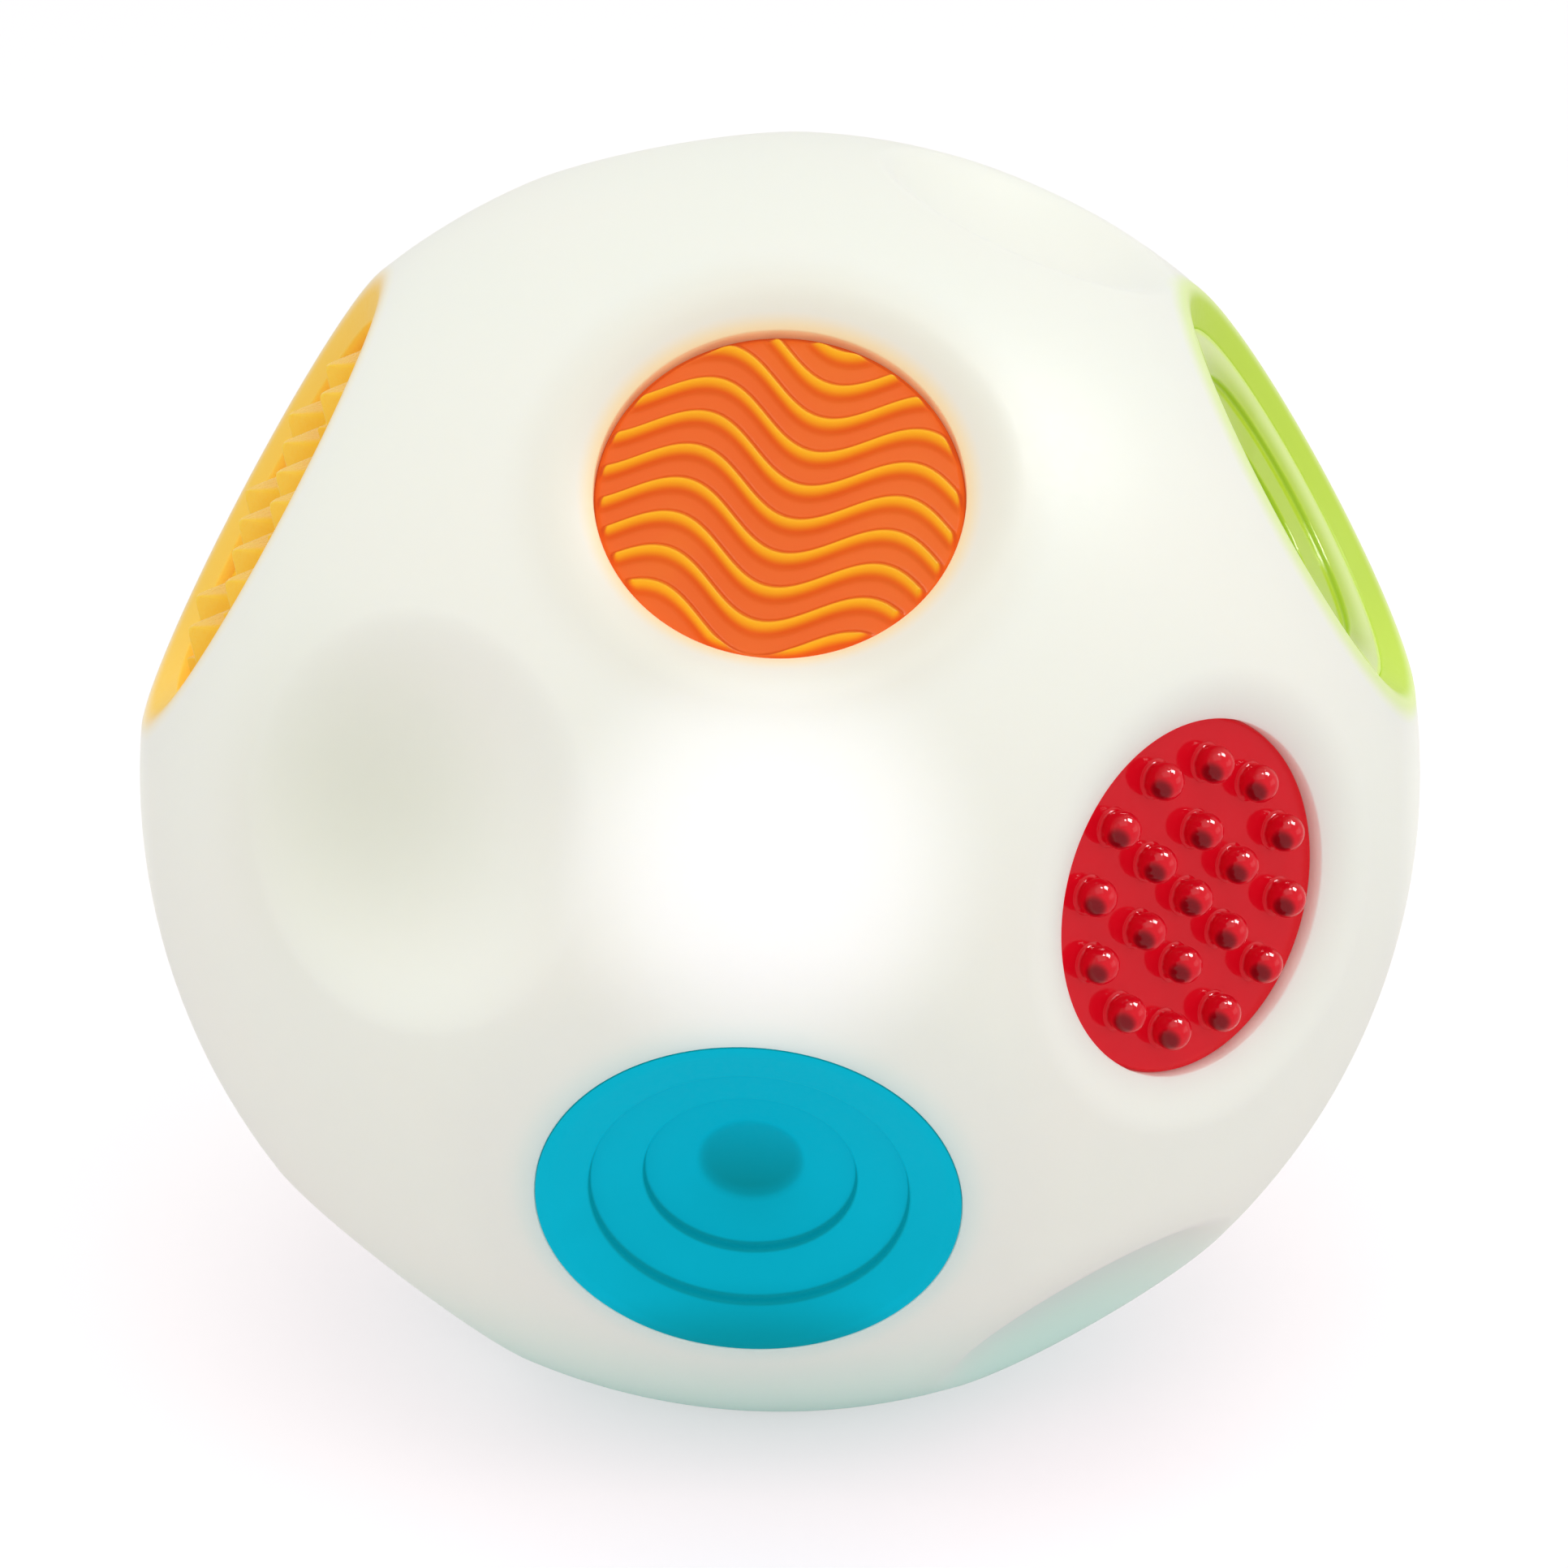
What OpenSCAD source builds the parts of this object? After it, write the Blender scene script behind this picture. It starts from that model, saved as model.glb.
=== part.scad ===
// Light-up sensory ball: a soft milky skin with round dishes all over it.
// Five dishes hold coloured texture discs. The rest are bare finger grips.
// A hard light-and-sound module plugs into the bottom dish, and the ball rests on its flat base.
// Frame: origin on the floor under the ball's centre, +Z up, front towards -Y.

/* [Ball] */
// Radius of the round skin
ball_r = 68; // [66:0.5:74]
// Wall of the soft skin
skin_t = 2.6; // [2.2:0.1:2.8]
// Mouth radius of a small bare grip dish
grip_mouth_r = 16; // [13:0.5:17]
// Depth of a small bare grip dish below its mouth
grip_depth = 4.6; // [3:0.1:5.5]
// Mouth radius of the large bare palm dish at the front
palm_mouth_r = 19; // [16:0.5:20]
// Depth of the large bare palm dish
palm_depth = 5.6; // [4:0.1:6.5]

/* [Texture discs] */
// Radius of the wave and nub discs
small_disc_r = 18.2; // [17:0.1:18.6]
// Mouth radius of the dishes round the wave and nub discs
small_mouth_r = 21.8; // [21:0.1:22.4]
// Radius of the green stepped disc
green_disc_r = 20.6; // [19:0.1:21]
// Mouth radius of the dish round the green disc
green_mouth_r = 24; // [23:0.1:24.4]
// Radius of the pyramid disc
pyramid_disc_r = 22; // [20:0.1:22.4]
// Mouth radius of the dish round the pyramid disc
pyramid_mouth_r = 26; // [25:0.1:26.6]
// Radius of the blue stepped disc, which fills its dish
blue_disc_r = 21.2; // [20:0.1:22]
// How far the disc faces lie below the mouths of their dishes
face_drop = 2; // [1.4:0.1:2.6]
// Thickness of a flat disc
disc_t = 3.2; // [2.8:0.1:4]
// How far the hidden retaining flange stands out round a disc
flange_w = 1.2; // [0.8:0.1:1.4]
// Thickness of the retaining flange
flange_t = 1.2; // [0.8:0.1:1.4]
// Clearance round a disc in its pocket
disc_fit = 0.1; // [0.05:0.01:0.2]

/* [Textures] */
// Height of the wave ribs
rib_h = 1.3; // [0.8:0.1:1.6]
// Width of a wave rib
rib_w = 1.5; // [1:0.1:1.9]
// Spacing of the wave ribs
rib_pitch = 3.9; // [3.4:0.1:4.5]
// Length of one wave
wave_length = 21.3; // [18:0.1:25]
// Swing of a wave to each side
wave_swing = 2.7; // [1.5:0.1:3]
// Radius of a nub's round head
nub_r = 1.75; // [1.3:0.05:1.9]
// Height of a nub's head centre above the disc
nub_stand = 1.5; // [1:0.1:2]
// Radius of the inner ring of nubs
nub_ring_r = 6.8; // [6:0.1:7.4]
// Depth of each step of the blue disc
blue_step = 2.3; // [1.8:0.1:2.5]
// Depth of each step of the green disc
green_step = 1.6; // [1:0.1:1.8]
// Wall left under the deepest step of a stepped disc
step_floor_t = 1.8; // [1.4:0.1:2.4]
// Height of a large pyramid
pyramid_h = 3; // [2:0.1:3.2]
// Half diagonal of a large pyramid's base
pyramid_base_r = 4.6; // [3.5:0.1:4.8]
// Spacing of the large pyramids
pyramid_pitch = 9.8; // [9.7:0.1:10.4]
// Half diagonal of a small pyramid's base
small_pyramid_r = 2; // [1.4:0.1:2.2]
// Height of a small pyramid
small_pyramid_h = 1.5; // [1:0.1:2]

/* [Module shell] */
// Radius of the flat base that the ball rests on
base_r = 24.2; // [23.6:0.1:24.6]
// Thickness of the base's outer plate
base_t = 2.4; // [2.2:0.1:2.8]
// Thickness of the skin's lip, held between base and housing
lip_t = 2.4; // [2:0.1:2.8]
// Clearance between the module and the skin
skin_fit = 0.3; // [0.2:0.05:0.4]
// Width of the ledge round the base on which the skin's lip lies
lip_w = 3.3; // [3.1:0.1:3.6]
// Wall of the housing and the diffuser
shell_t = 1.6; // [1.4:0.1:1.8]
// How far the housing's flange above the lip stays inside the base's edge
flange_inset = 0.2; // [0:0.1:0.8]
// Thickness of the housing's flange
housing_flange_t = 1.8; // [1.4:0.1:2.2]
// Thickness of the housing's top deck
deck_t = 2; // [1.6:0.1:2.4]
// Height of the diffuser's straight wall above the deck
diffuser_wall_h = 15; // [14:0.1:16]
// Height of the diffuser's sloping shoulder
diffuser_shoulder_h = 5.5; // [4:0.1:7]
// Width of the diffuser's sloping shoulder
diffuser_shoulder_w = 4.3; // [3.5:0.1:4.5]

/* [Batteries] */
// Room between the battery tube and the outside of the housing, for the screws and the switch
side_w = 7.8; // [7.6:0.1:8]
// Overall length of one cell with its nub
cell_len = 44.5; // [43:0.1:45]
// Radius of a cell's positive nub
cell_nub_r = 1.8; // [1.5:0.1:1.9]
// Height of a cell's positive nub
cell_nub_h = 1; // [0.8:0.1:1.2]
// Height of a battery spring, compressed
spring_h = 3.4; // [3:0.1:4]
// Thickness of the contact plates
contact_t = 0.4; // [0.3:0.05:0.5]
// Wall of the battery tube
tube_t = 1.2; // [1:0.1:1.3]
// Clearance round the cells in the battery tube
cell_fit = 0.45; // [0.35:0.05:0.5]

/* [Battery door] */
// How far the round battery door reaches past the battery tube
door_lap = 1.5; // [1.4:0.1:1.6]
// Thickness of the battery door
door_t = 1.8; // [1.6:0.1:1.9]
// How far the door is recessed into the base
door_recess = 0.4; // [0.3:0.1:0.5]
// Clearance round the door
door_fit = 0.3; // [0.25:0.05:0.35]
// Distance of the door's screws from the door's edge
ear_out = 2.2; // [2:0.1:2.4]
// Radius of the door's screw ears
ear_r = 3.2; // [3:0.1:3.4]
// Thickness of the door's seal
seal_t = 0.4; // [0.3:0.05:0.45]
// Width of the door's seal
seal_w = 1.2; // [0.8:0.1:1.2]

/* [Screws] */
// Radius of a screw's thread
screw_r = 1; // [0.8:0.05:1.1]
// Radius of a screw's head
screw_head_r = 1.9; // [1.6:0.05:2]
// Height of a screw's head
screw_head_h = 1.2; // [1:0.05:1.3]
// Running clearance round a screw
screw_fit = 0.1; // [0.08:0.01:0.15]
// Length of a housing screw's thread
housing_screw_len = 9; // [8:0.1:10]
// Length of a door screw's thread
door_screw_len = 5; // [4.5:0.1:5.5]
// Length of a board screw's thread
board_screw_len = 4; // [3.5:0.1:4.4]
// Width of a screwdriver slot
drive_w = 0.5; // [0.4:0.05:0.6]
// Depth of a screwdriver slot
drive_d = 0.6; // [0.5:0.05:0.7]

/* [Switch] */
// Length of the switch knob along its travel
knob_len = 3.6; // [3.2:0.1:3.8]
// Width of the switch knob
knob_w = 2.2; // [1.8:0.1:2.2]
// Travel of the switch knob
knob_travel = 3; // [2.5:0.1:3.2]
// Clearance round the switch knob
knob_fit = 0.2; // [0.15:0.05:0.25]
// How far the knob's face is recessed into the base
knob_recess = 0.6; // [0.4:0.1:1]
// Width of the switch's case
switch_w = 3.6; // [3.4:0.1:3.8]
// Height of the switch's case
switch_h = 4; // [3.6:0.1:4.4]
// Wall of the switch's case
switch_wall = 0.6; // [0.5:0.05:0.7]

/* [Board] */
// Gap round the circuit board inside the diffuser
board_gap = 1.3; // [0.9:0.1:1.8]
// Thickness of the circuit board
board_t = 1.6; // [1.2:0.1:1.8]
// Height of the board's posts above the deck
post_h = 4; // [3.5:0.1:5]
// Radius of the board's posts
post_r = 2.2; // [2:0.1:2.4]
// Distance of the board's screws from its edge
post_inset = 3.4; // [3.2:0.1:3.8]
// Height of a lamp's straight part
lamp_h = 3.4; // [3:0.1:4]
// Height of the motion sensor's can
sensor_h = 6; // [5.5:0.1:6.5]
// Wall of the motion sensor's can
sensor_wall = 0.4; // [0.3:0.05:0.5]
// Play of the motion sensor's rolling ball in its can
sensor_play = 0.5; // [0.4:0.05:0.7]
// Radius of a wire with its sleeve
wire_r = 0.5; // [0.4:0.05:0.6]

/* [Speaker] */
// Width of the diffuser's flat top outside the speaker
speaker_gap = 2.6; // [2.4:0.1:3]
// Thickness of the speaker frame's rim
speaker_rim_t = 1.2; // [1:0.1:1.4]
// Depth of the speaker's frame
speaker_depth = 4; // [3.6:0.1:4.4]
// Thickness of the speaker's magnet
magnet_t = 2.2; // [1.8:0.1:2.4]
// Width of the speaker frame's rim that carries the cone
speaker_rim_w = 2; // [1.6:0.1:2.4]
// Thickness of the speaker's cone
cone_t = 0.5; // [0.4:0.05:0.6]
// How far the speaker's cone moves each way
cone_travel = 0.5; // [0.3:0.05:0.6]
// Radius of a sound hole
sound_hole_r = 0.9; // [0.6:0.1:1]

/* [Hidden] */

// Overrun of a cut past the face that it opens
over = base_t / 2;
// Facet counts for large, ordinary and small round shapes
fine = 96;
round_fn = 48;
small_fn = 24;

// Tilt of the waves on their disc and where along them they start, in degrees
wave_tilt = -16;
wave_phase = -116;

// Where each dish faces: azimuth from the front towards +X, then elevation, in degrees
wave_dir = [0, 47];
nub_dir = [41.5, 4];
blue_dir = [-3, -20.5];
green_dir = [87, 30.5];
pyramid_dir = [-89.5, 29.5];
palm_dir = [-34.5, 13];
grip_dirs = [[43, -45], [93, 67], [-65, -48], [-156, 64],
    [150, 26], [104, -17], [-122, -14], [164, -30], [-150, 18]];

// Distance from the ball's centre to the plane of a dish's mouth
function chord(mouth_r) = sqrt(ball_r * ball_r - mouth_r * mouth_r);

port_r = base_r + skin_fit;
housing_r = base_r - lip_w;
housing_flange_r = base_r - flange_inset;
diffuser_top_r = housing_r - diffuser_shoulder_w;
base_lift = skin_fit;
centre_h = chord(port_r) + base_lift;
housing_z = base_t + lip_t;
blue_t = 3 * blue_step + step_floor_t;
green_t = 3 * green_step + step_floor_t;

// Share of a cell's radius that sets the three cells apart, and the radii of the tube, cells and door
cell_ring_share = 1.202;
tube_r = housing_r - side_w - tube_t;
cell_r = (tube_r - cell_fit) / (1 + cell_ring_share);
cell_ring_r = cell_ring_share * cell_r;
door_r = tube_r + door_lap;
hatch_r = door_r - seal_w;
ledge_r = door_r + door_fit + tube_t;
ear_ring_r = door_r + ear_out;

// Heights in the battery tube
door_top_z = door_recess + door_t;
ledge_z = door_top_z + seal_t + skin_fit / 2;
plate_z = door_top_z;
spring_z = plate_z + contact_t;
cell_z = spring_z + spring_h;
top_contact_z = cell_z + cell_len;
deck_z = top_contact_z + contact_t;
deck_top_z = deck_z + deck_t;
board_z = deck_top_z + post_h;
board_top_z = board_z + board_t;

// Heights in the diffuser
shoulder_z = deck_top_z + diffuser_wall_h;
diffuser_top_z = shoulder_z + diffuser_shoulder_h;
speaker_top_z = diffuser_top_z - shell_t - disc_fit;
speaker_z = speaker_top_z - speaker_depth;
speaker_r = diffuser_top_r - speaker_gap;
magnet_r = speaker_r / 2;
cone_outer_r = speaker_r - speaker_rim_w;
cone_z = speaker_z + speaker_rim_t / 2 + 1.5 * cone_travel;

// Screws stand on the diagonals with the lamps between them, the door's ears lie to each side
screw_angles = [45, 135, 225, 315];
lamp_angles = [0, 90, 180, 270];
ear_angles = [0, 180];
cell_angles = [90, 210, 330];
speaker_wire_angles = [-38, -22];

// Bosses for the housing's screws
boss_r = screw_head_r + screw_head_h / 2;
boss_ring_r = housing_r - shell_t - boss_r + skin_fit;

// Taper of a battery spring, as shares of the cell's radius: its foot, its top and its hole
spring_foot_share = 0.77;
spring_top_share = 0.5;
spring_hole_share = 0.33;

// Step of the stepped discs, as a share of the disc's radius
step_w_share = 0.25;

// How far the floors of the nub and pyramid discs lie below the level of a plain disc's face
nub_sink = nub_stand;
pyramid_sink = pyramid_h / 3;

// Sizes of what stands on the board, as shares of the board's radius
lamp_share = 0.139;
sensor_share = 0.1445;
lamp_ring_share = 0.7555;
resistor_gap_share = 0.1333;
resistor_shift_share = 0.1833;

// Places on the board
board_r = housing_r - shell_t - board_gap;
post_ring_r = board_r - post_inset;
lamp_r = lamp_share * board_r;
lamp_ring_r = lamp_ring_share * board_r;
sensor_r = sensor_share * board_r;
sensor_ball_r = sensor_r - sensor_wall - sensor_play;
sensor_x = -lamp_ring_r / 2;
chip_r = lamp_ring_r / 2 - lamp_r - wire_r / 2 - disc_fit / 2;
capacitor_ring_r = post_ring_r - screw_head_r - lamp_r - wire_r;

// Sizes of the switch, which stands between the door's ledge and the housing
switch_ring_r = ledge_r + knob_fit / 2 + switch_w / 2;
knob_start = -knob_travel / 2;
slot_len = knob_len + knob_travel + 2 * knob_fit;
switch_len = slot_len + 2 * switch_wall;
nib_len = knob_len / 2;
wall_wire_y = -housing_r + 2 * shell_t + 2 * wire_r;

// Turns and moves a shape so that its +Z faces out of the ball in a direction, with +Y uppermost
module facing(dir, distance) {
    translate([0, 0, centre_h])
        rotate([0, 90 - dir[1], dir[0] - 90])
        rotate([0, 0, 90])
        translate([0, 0, distance])
        children();
}

// Puts copies round the module's axis at the given angles
module around(angles, ring_r) {
    for (a = angles)
        rotate([0, 0, a]) translate([ring_r, 0, 0]) children();
}

// Upright wire from one height to another
module wire(x, y, low, high) {
    translate([x, y, low]) cylinder(r = wire_r, h = high - low, $fn = small_fn);
}

// Cap of a sphere that hollows a bare dish, its poles to the sides; grow makes room for the skin's wall
module bare_dish(dir, mouth_r, depth, grow) {
    cap_r = (mouth_r * mouth_r + depth * depth) / (2 * depth);
    facing(dir, chord(mouth_r) + cap_r - depth)
        rotate([90, 0, 0]) sphere(r = cap_r + grow, $fn = fine);
}

// Dish and pocket for a texture disc: a sloping wall down to the disc, then the disc's own room
module disc_dish(dir, mouth_r, disc_r, drop, thickness) {
    room_r = disc_r + disc_fit;
    slope = (mouth_r - room_r) / max(drop, disc_fit);
    rise = drop + ball_r - chord(mouth_r) + over;
    facing(dir, chord(mouth_r) - drop) {
        cylinder(r1 = room_r, r2 = room_r + slope * rise, h = rise, $fn = fine);
        translate([0, 0, -thickness - disc_fit])
            cylinder(r = room_r, h = thickness + disc_fit + drop / 2, $fn = fine);
        translate([0, 0, -thickness - disc_fit])
            cylinder(r = room_r + flange_w, h = flange_t + 2 * disc_fit, $fn = fine);
    }
}

// What the inside of the skin keeps clear of behind a texture disc
module disc_backing(dir, mouth_r, disc_r, drop, thickness) {
    back_r = max(mouth_r, disc_r + disc_fit + flange_w + skin_t);
    depth = drop + thickness + disc_fit + skin_t;
    facing(dir, chord(mouth_r) - depth)
        cylinder(r = back_r, h = depth + 2 * skin_t, $fn = fine);
}

module ball_skin() {
    color([0.94, 0.94, 0.9])
    difference() {
        translate([0, 0, centre_h]) sphere(r = ball_r, $fn = fine);
        difference() {
            translate([0, 0, centre_h]) sphere(r = ball_r - skin_t, $fn = fine);
            for (dir = grip_dirs) bare_dish(dir, grip_mouth_r, grip_depth, skin_t);
            bare_dish(palm_dir, palm_mouth_r, palm_depth, skin_t);
            disc_backing(wave_dir, small_mouth_r, small_disc_r, face_drop, disc_t);
            disc_backing(nub_dir, small_mouth_r, small_disc_r, face_drop, disc_t);
            disc_backing(green_dir, green_mouth_r, green_disc_r, face_drop, green_t);
            disc_backing(pyramid_dir, pyramid_mouth_r, pyramid_disc_r, face_drop, disc_t);
            disc_backing(blue_dir, blue_disc_r + disc_fit, blue_disc_r, 0, blue_t);
            translate([0, 0, -over]) cylinder(r = port_r + skin_t, h = over + housing_z, $fn = fine);
        }
        for (dir = grip_dirs) bare_dish(dir, grip_mouth_r, grip_depth, 0);
        bare_dish(palm_dir, palm_mouth_r, palm_depth, 0);
        disc_dish(wave_dir, small_mouth_r, small_disc_r, face_drop, disc_t);
        disc_dish(nub_dir, small_mouth_r, small_disc_r, face_drop, disc_t);
        disc_dish(green_dir, green_mouth_r, green_disc_r, face_drop, green_t);
        disc_dish(pyramid_dir, pyramid_mouth_r, pyramid_disc_r, face_drop, disc_t);
        disc_dish(blue_dir, blue_disc_r + disc_fit, blue_disc_r, 0, blue_t);
        translate([0, 0, centre_h - ball_r - over])
            cylinder(r = port_r, h = ball_r - centre_h + over + base_t, $fn = fine);
        cylinder(r = housing_r + skin_fit, h = housing_z + over, $fn = fine);
    }
}

// Plain disc with its retaining flange, its face at zero
module disc_blank(disc_r, thickness) {
    translate([0, 0, -thickness]) cylinder(r = disc_r, h = thickness, $fn = fine);
    translate([0, 0, -thickness]) cylinder(r = disc_r + flange_w, h = flange_t, $fn = fine);
}

// Outline of one wavy rib, worked out as a sine band
module wave_band(offset_y, half_len, steps) {
    turn_per_length = 360 / wave_length;
    function swing(x) = wave_swing * sin(turn_per_length * x + wave_phase);
    xs = [for (i = [0 : steps]) half_len * (2 * i / steps - 1)];
    upper = [for (x = xs) [x, offset_y + swing(x) + rib_w / 2]];
    lower = [for (i = [steps : -1 : 0]) [xs[i], offset_y + swing(xs[i]) - rib_w / 2]];
    polygon(concat(upper, lower));
}

module wave_disc() {
    rows = floor((small_disc_r + wave_swing) / rib_pitch);
    color([0.95, 0.45, 0.15])
    facing(wave_dir, chord(small_mouth_r) - face_drop) {
        translate([0, 0, -rib_h]) disc_blank(small_disc_r, disc_t - rib_h);
        intersection() {
            rotate([0, 0, wave_tilt])
                for (k = [-rows : rows])
                    translate([0, 0, -rib_h - disc_fit])
                        linear_extrude(height = rib_h + disc_fit)
                        wave_band(k * rib_pitch, small_disc_r, 30);
            translate([0, 0, -disc_t]) cylinder(r = small_disc_r, h = disc_t, $fn = fine);
        }
    }
}

module nub_disc() {
    color([0.85, 0.12, 0.14])
    facing(nub_dir, chord(small_mouth_r) - face_drop)
        translate([0, 0, -nub_sink]) {
            disc_blank(small_disc_r, disc_t - nub_sink);
            one_nub();
            around([for (i = [0 : 5]) 60 * i + 15], nub_ring_r) one_nub();
            around([for (i = [0 : 11]) 30 * i + 15], 2 * nub_ring_r) one_nub();
        }
}

// One ball-ended nub on a short stem
module one_nub() {
    translate([0, 0, -disc_fit]) cylinder(r = nub_r / 2, h = nub_stand, $fn = small_fn);
    translate([0, 0, nub_stand]) sphere(r = nub_r, $fn = small_fn);
}

// Bowl of three round steps cut into a disc
module stepped_disc(disc_r, step, thickness) {
    difference() {
        disc_blank(disc_r, thickness);
        for (i = [1 : 3])
            translate([0, 0, -i * step])
                cylinder(r = disc_r * (1 - i * step_w_share), h = i * step + over, $fn = fine);
    }
}

module blue_disc() {
    color([0, 0.67, 0.82])
    facing(blue_dir, chord(blue_disc_r + disc_fit))
        stepped_disc(blue_disc_r, blue_step, blue_t);
}

module green_disc() {
    color([0.7, 0.83, 0.24])
    facing(green_dir, chord(green_mouth_r) - face_drop)
        stepped_disc(green_disc_r, green_step, green_t);
}

// Four-sided pyramid on the face of a disc
module pyramid(base_r, height) {
    translate([0, 0, -disc_fit]) rotate([0, 0, 45])
        cylinder(r1 = base_r, r2 = 0, h = height + disc_fit, $fn = 4);
}

module pyramid_disc() {
    side_shares = [-1.5, -0.5, 0.5, 1.5];
    gap_shares = [-2, -1, 0, 1, 2];
    reach = pyramid_disc_r - pyramid_base_r;
    color([0.96, 0.77, 0.25])
    facing(pyramid_dir, chord(pyramid_mouth_r) - face_drop)
        translate([0, 0, -pyramid_sink]) {
            disc_blank(pyramid_disc_r, disc_t - pyramid_sink);
            for (i = side_shares)
                for (j = side_shares)
                    if (norm([i, j]) * pyramid_pitch < reach)
                        translate([i, j, 0] * pyramid_pitch) pyramid(pyramid_base_r, pyramid_h);
            for (i = gap_shares)
                for (j = gap_shares)
                    if (norm([i, j]) * pyramid_pitch < pyramid_disc_r - small_pyramid_r)
                        translate([i, j, 0] * pyramid_pitch) pyramid(small_pyramid_r, small_pyramid_h);
        }
}

// Plan of the battery door: a disc with two screw ears
module door_plan(grow) {
    circle(r = door_r + grow, $fn = fine);
    for (side = [-1, 1])
        translate([side * ear_ring_r, 0]) circle(r = ear_r + grow, $fn = round_fn);
}

module base_plate() {
    color([0.93, 0.93, 0.91])
    difference() {
        union() {
            cylinder(r = base_r, h = base_t, $fn = fine);
            difference() {
                cylinder(r = housing_r, h = housing_z, $fn = fine);
                translate([0, 0, -over])
                    cylinder(r = housing_r - tube_t, h = housing_z + 2 * over, $fn = fine);
            }
            cylinder(r = ledge_r, h = ledge_z + tube_t, $fn = fine);
            around(screw_angles, boss_ring_r) cylinder(r = boss_r, h = housing_z, $fn = round_fn);
            around(ear_angles, ear_ring_r) {
                cylinder(r = ear_r + door_fit + tube_t, h = ledge_z + tube_t, $fn = round_fn);
                cylinder(r = screw_r + screw_fit + tube_t, h = door_top_z + door_screw_len, $fn = round_fn);
            }
        }
        translate([0, 0, -over]) linear_extrude(height = ledge_z + over) door_plan(door_fit);
        translate([0, 0, -over]) cylinder(r = hatch_r, h = housing_z + 2 * over, $fn = fine);
        around(ear_angles, ear_ring_r)
            translate([0, 0, door_recess])
                cylinder(r = screw_r + screw_fit, h = door_screw_len, $fn = round_fn);
        around(screw_angles, boss_ring_r) {
            translate([0, 0, -over])
                cylinder(r = screw_r + screw_fit, h = housing_z + 2 * over, $fn = round_fn);
            translate([0, 0, -over])
                cylinder(r = screw_head_r + screw_fit, h = over + door_recess + screw_head_h, $fn = round_fn);
        }
        translate([-slot_len / 2, -switch_ring_r - knob_w / 2 - knob_fit, -over])
            cube([slot_len, knob_w + 2 * knob_fit, base_t + 2 * over]);
        for (i = [-2 : 2])
            rotate([0, 0, 90 + 12 * i]) translate([switch_ring_r, 0, -over])
                cylinder(r = sound_hole_r, h = base_t + 2 * over, $fn = round_fn);
    }
}

module housing() {
    boss_h = housing_screw_len + 2 * over;
    color([0.9, 0.91, 0.9])
    difference() {
        union() {
            difference() {
                union() {
                    translate([0, 0, housing_z])
                        cylinder(r = housing_r, h = deck_top_z - housing_z, $fn = fine);
                    translate([0, 0, housing_z])
                        cylinder(r = housing_flange_r, h = housing_flange_t, $fn = fine);
                }
                translate([0, 0, housing_z - over])
                    cylinder(r = housing_r - shell_t, h = deck_z - housing_z + over, $fn = fine);
            }
            translate([0, 0, housing_z]) cylinder(r = tube_r + tube_t, h = deck_z - housing_z, $fn = fine);
            around(screw_angles, boss_ring_r)
                translate([0, 0, housing_z]) cylinder(r = boss_r, h = boss_h, $fn = round_fn);
            around(screw_angles, post_ring_r)
                translate([0, 0, deck_z]) cylinder(r = post_r, h = deck_t + post_h, $fn = round_fn);
            translate([0, 0, deck_z]) difference() {
                cylinder(r = housing_r - shell_t - disc_fit, h = deck_t + shell_t, $fn = fine);
                cylinder(r = housing_r - 2 * shell_t, h = deck_t + shell_t + over, $fn = fine);
            }
        }
        translate([0, 0, housing_z - over]) cylinder(r = tube_r, h = deck_z - housing_z + over, $fn = fine);
        around(screw_angles, boss_ring_r)
            translate([0, 0, housing_z - over])
                cylinder(r = screw_r + screw_fit, h = housing_screw_len + over, $fn = round_fn);
        around(screw_angles, post_ring_r)
            translate([0, 0, deck_top_z])
                cylinder(r = screw_r + screw_fit, h = post_h + over, $fn = round_fn);
        for (x = [-1, 1] * 3 * wire_r)
            translate([x, wall_wire_y, deck_z - over])
                cylinder(r = 2 * wire_r, h = deck_t + 2 * over, $fn = small_fn);
        for (x = [-1, 1] * 4 * wire_r)
            translate([x, 0, deck_z - over]) cylinder(r = 2 * wire_r, h = deck_t + 2 * over, $fn = small_fn);
    }
}

// Outer form of the diffuser; inset gives its inside
module diffuser_form(inset, foot) {
    translate([0, 0, foot]) cylinder(r = housing_r - inset, h = shoulder_z - foot, $fn = fine);
    shoulder_h = diffuser_shoulder_h - inset;
    translate([0, 0, shoulder_z])
        cylinder(r1 = housing_r - inset, r2 = diffuser_top_r - inset, h = shoulder_h, $fn = fine);
}

module diffuser() {
    seat_h = diffuser_top_z - shell_t / 2 - speaker_z - speaker_depth / 2;
    color([0.97, 0.97, 0.97, 0.6])
    difference() {
        union() {
            difference() {
                diffuser_form(0, deck_top_z);
                diffuser_form(shell_t, deck_top_z - over);
            }
            translate([0, 0, speaker_z + speaker_depth / 2]) difference() {
                cylinder(r = speaker_r + disc_fit + shell_t / 2, h = seat_h, $fn = fine);
                translate([0, 0, -over])
                    cylinder(r = speaker_r + disc_fit, h = speaker_depth / 2 + disc_fit + over, $fn = fine);
            }
        }
        for (ring = [0 : 3])
            around([for (i = [0 : max(ring * 6 - 1, 0)]) 60 * i / max(ring, 1)], 3 * ring * sound_hole_r)
                translate([0, 0, diffuser_top_z - 2 * shell_t])
                    cylinder(r = sound_hole_r, h = 3 * shell_t, $fn = small_fn);
    }
}

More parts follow.
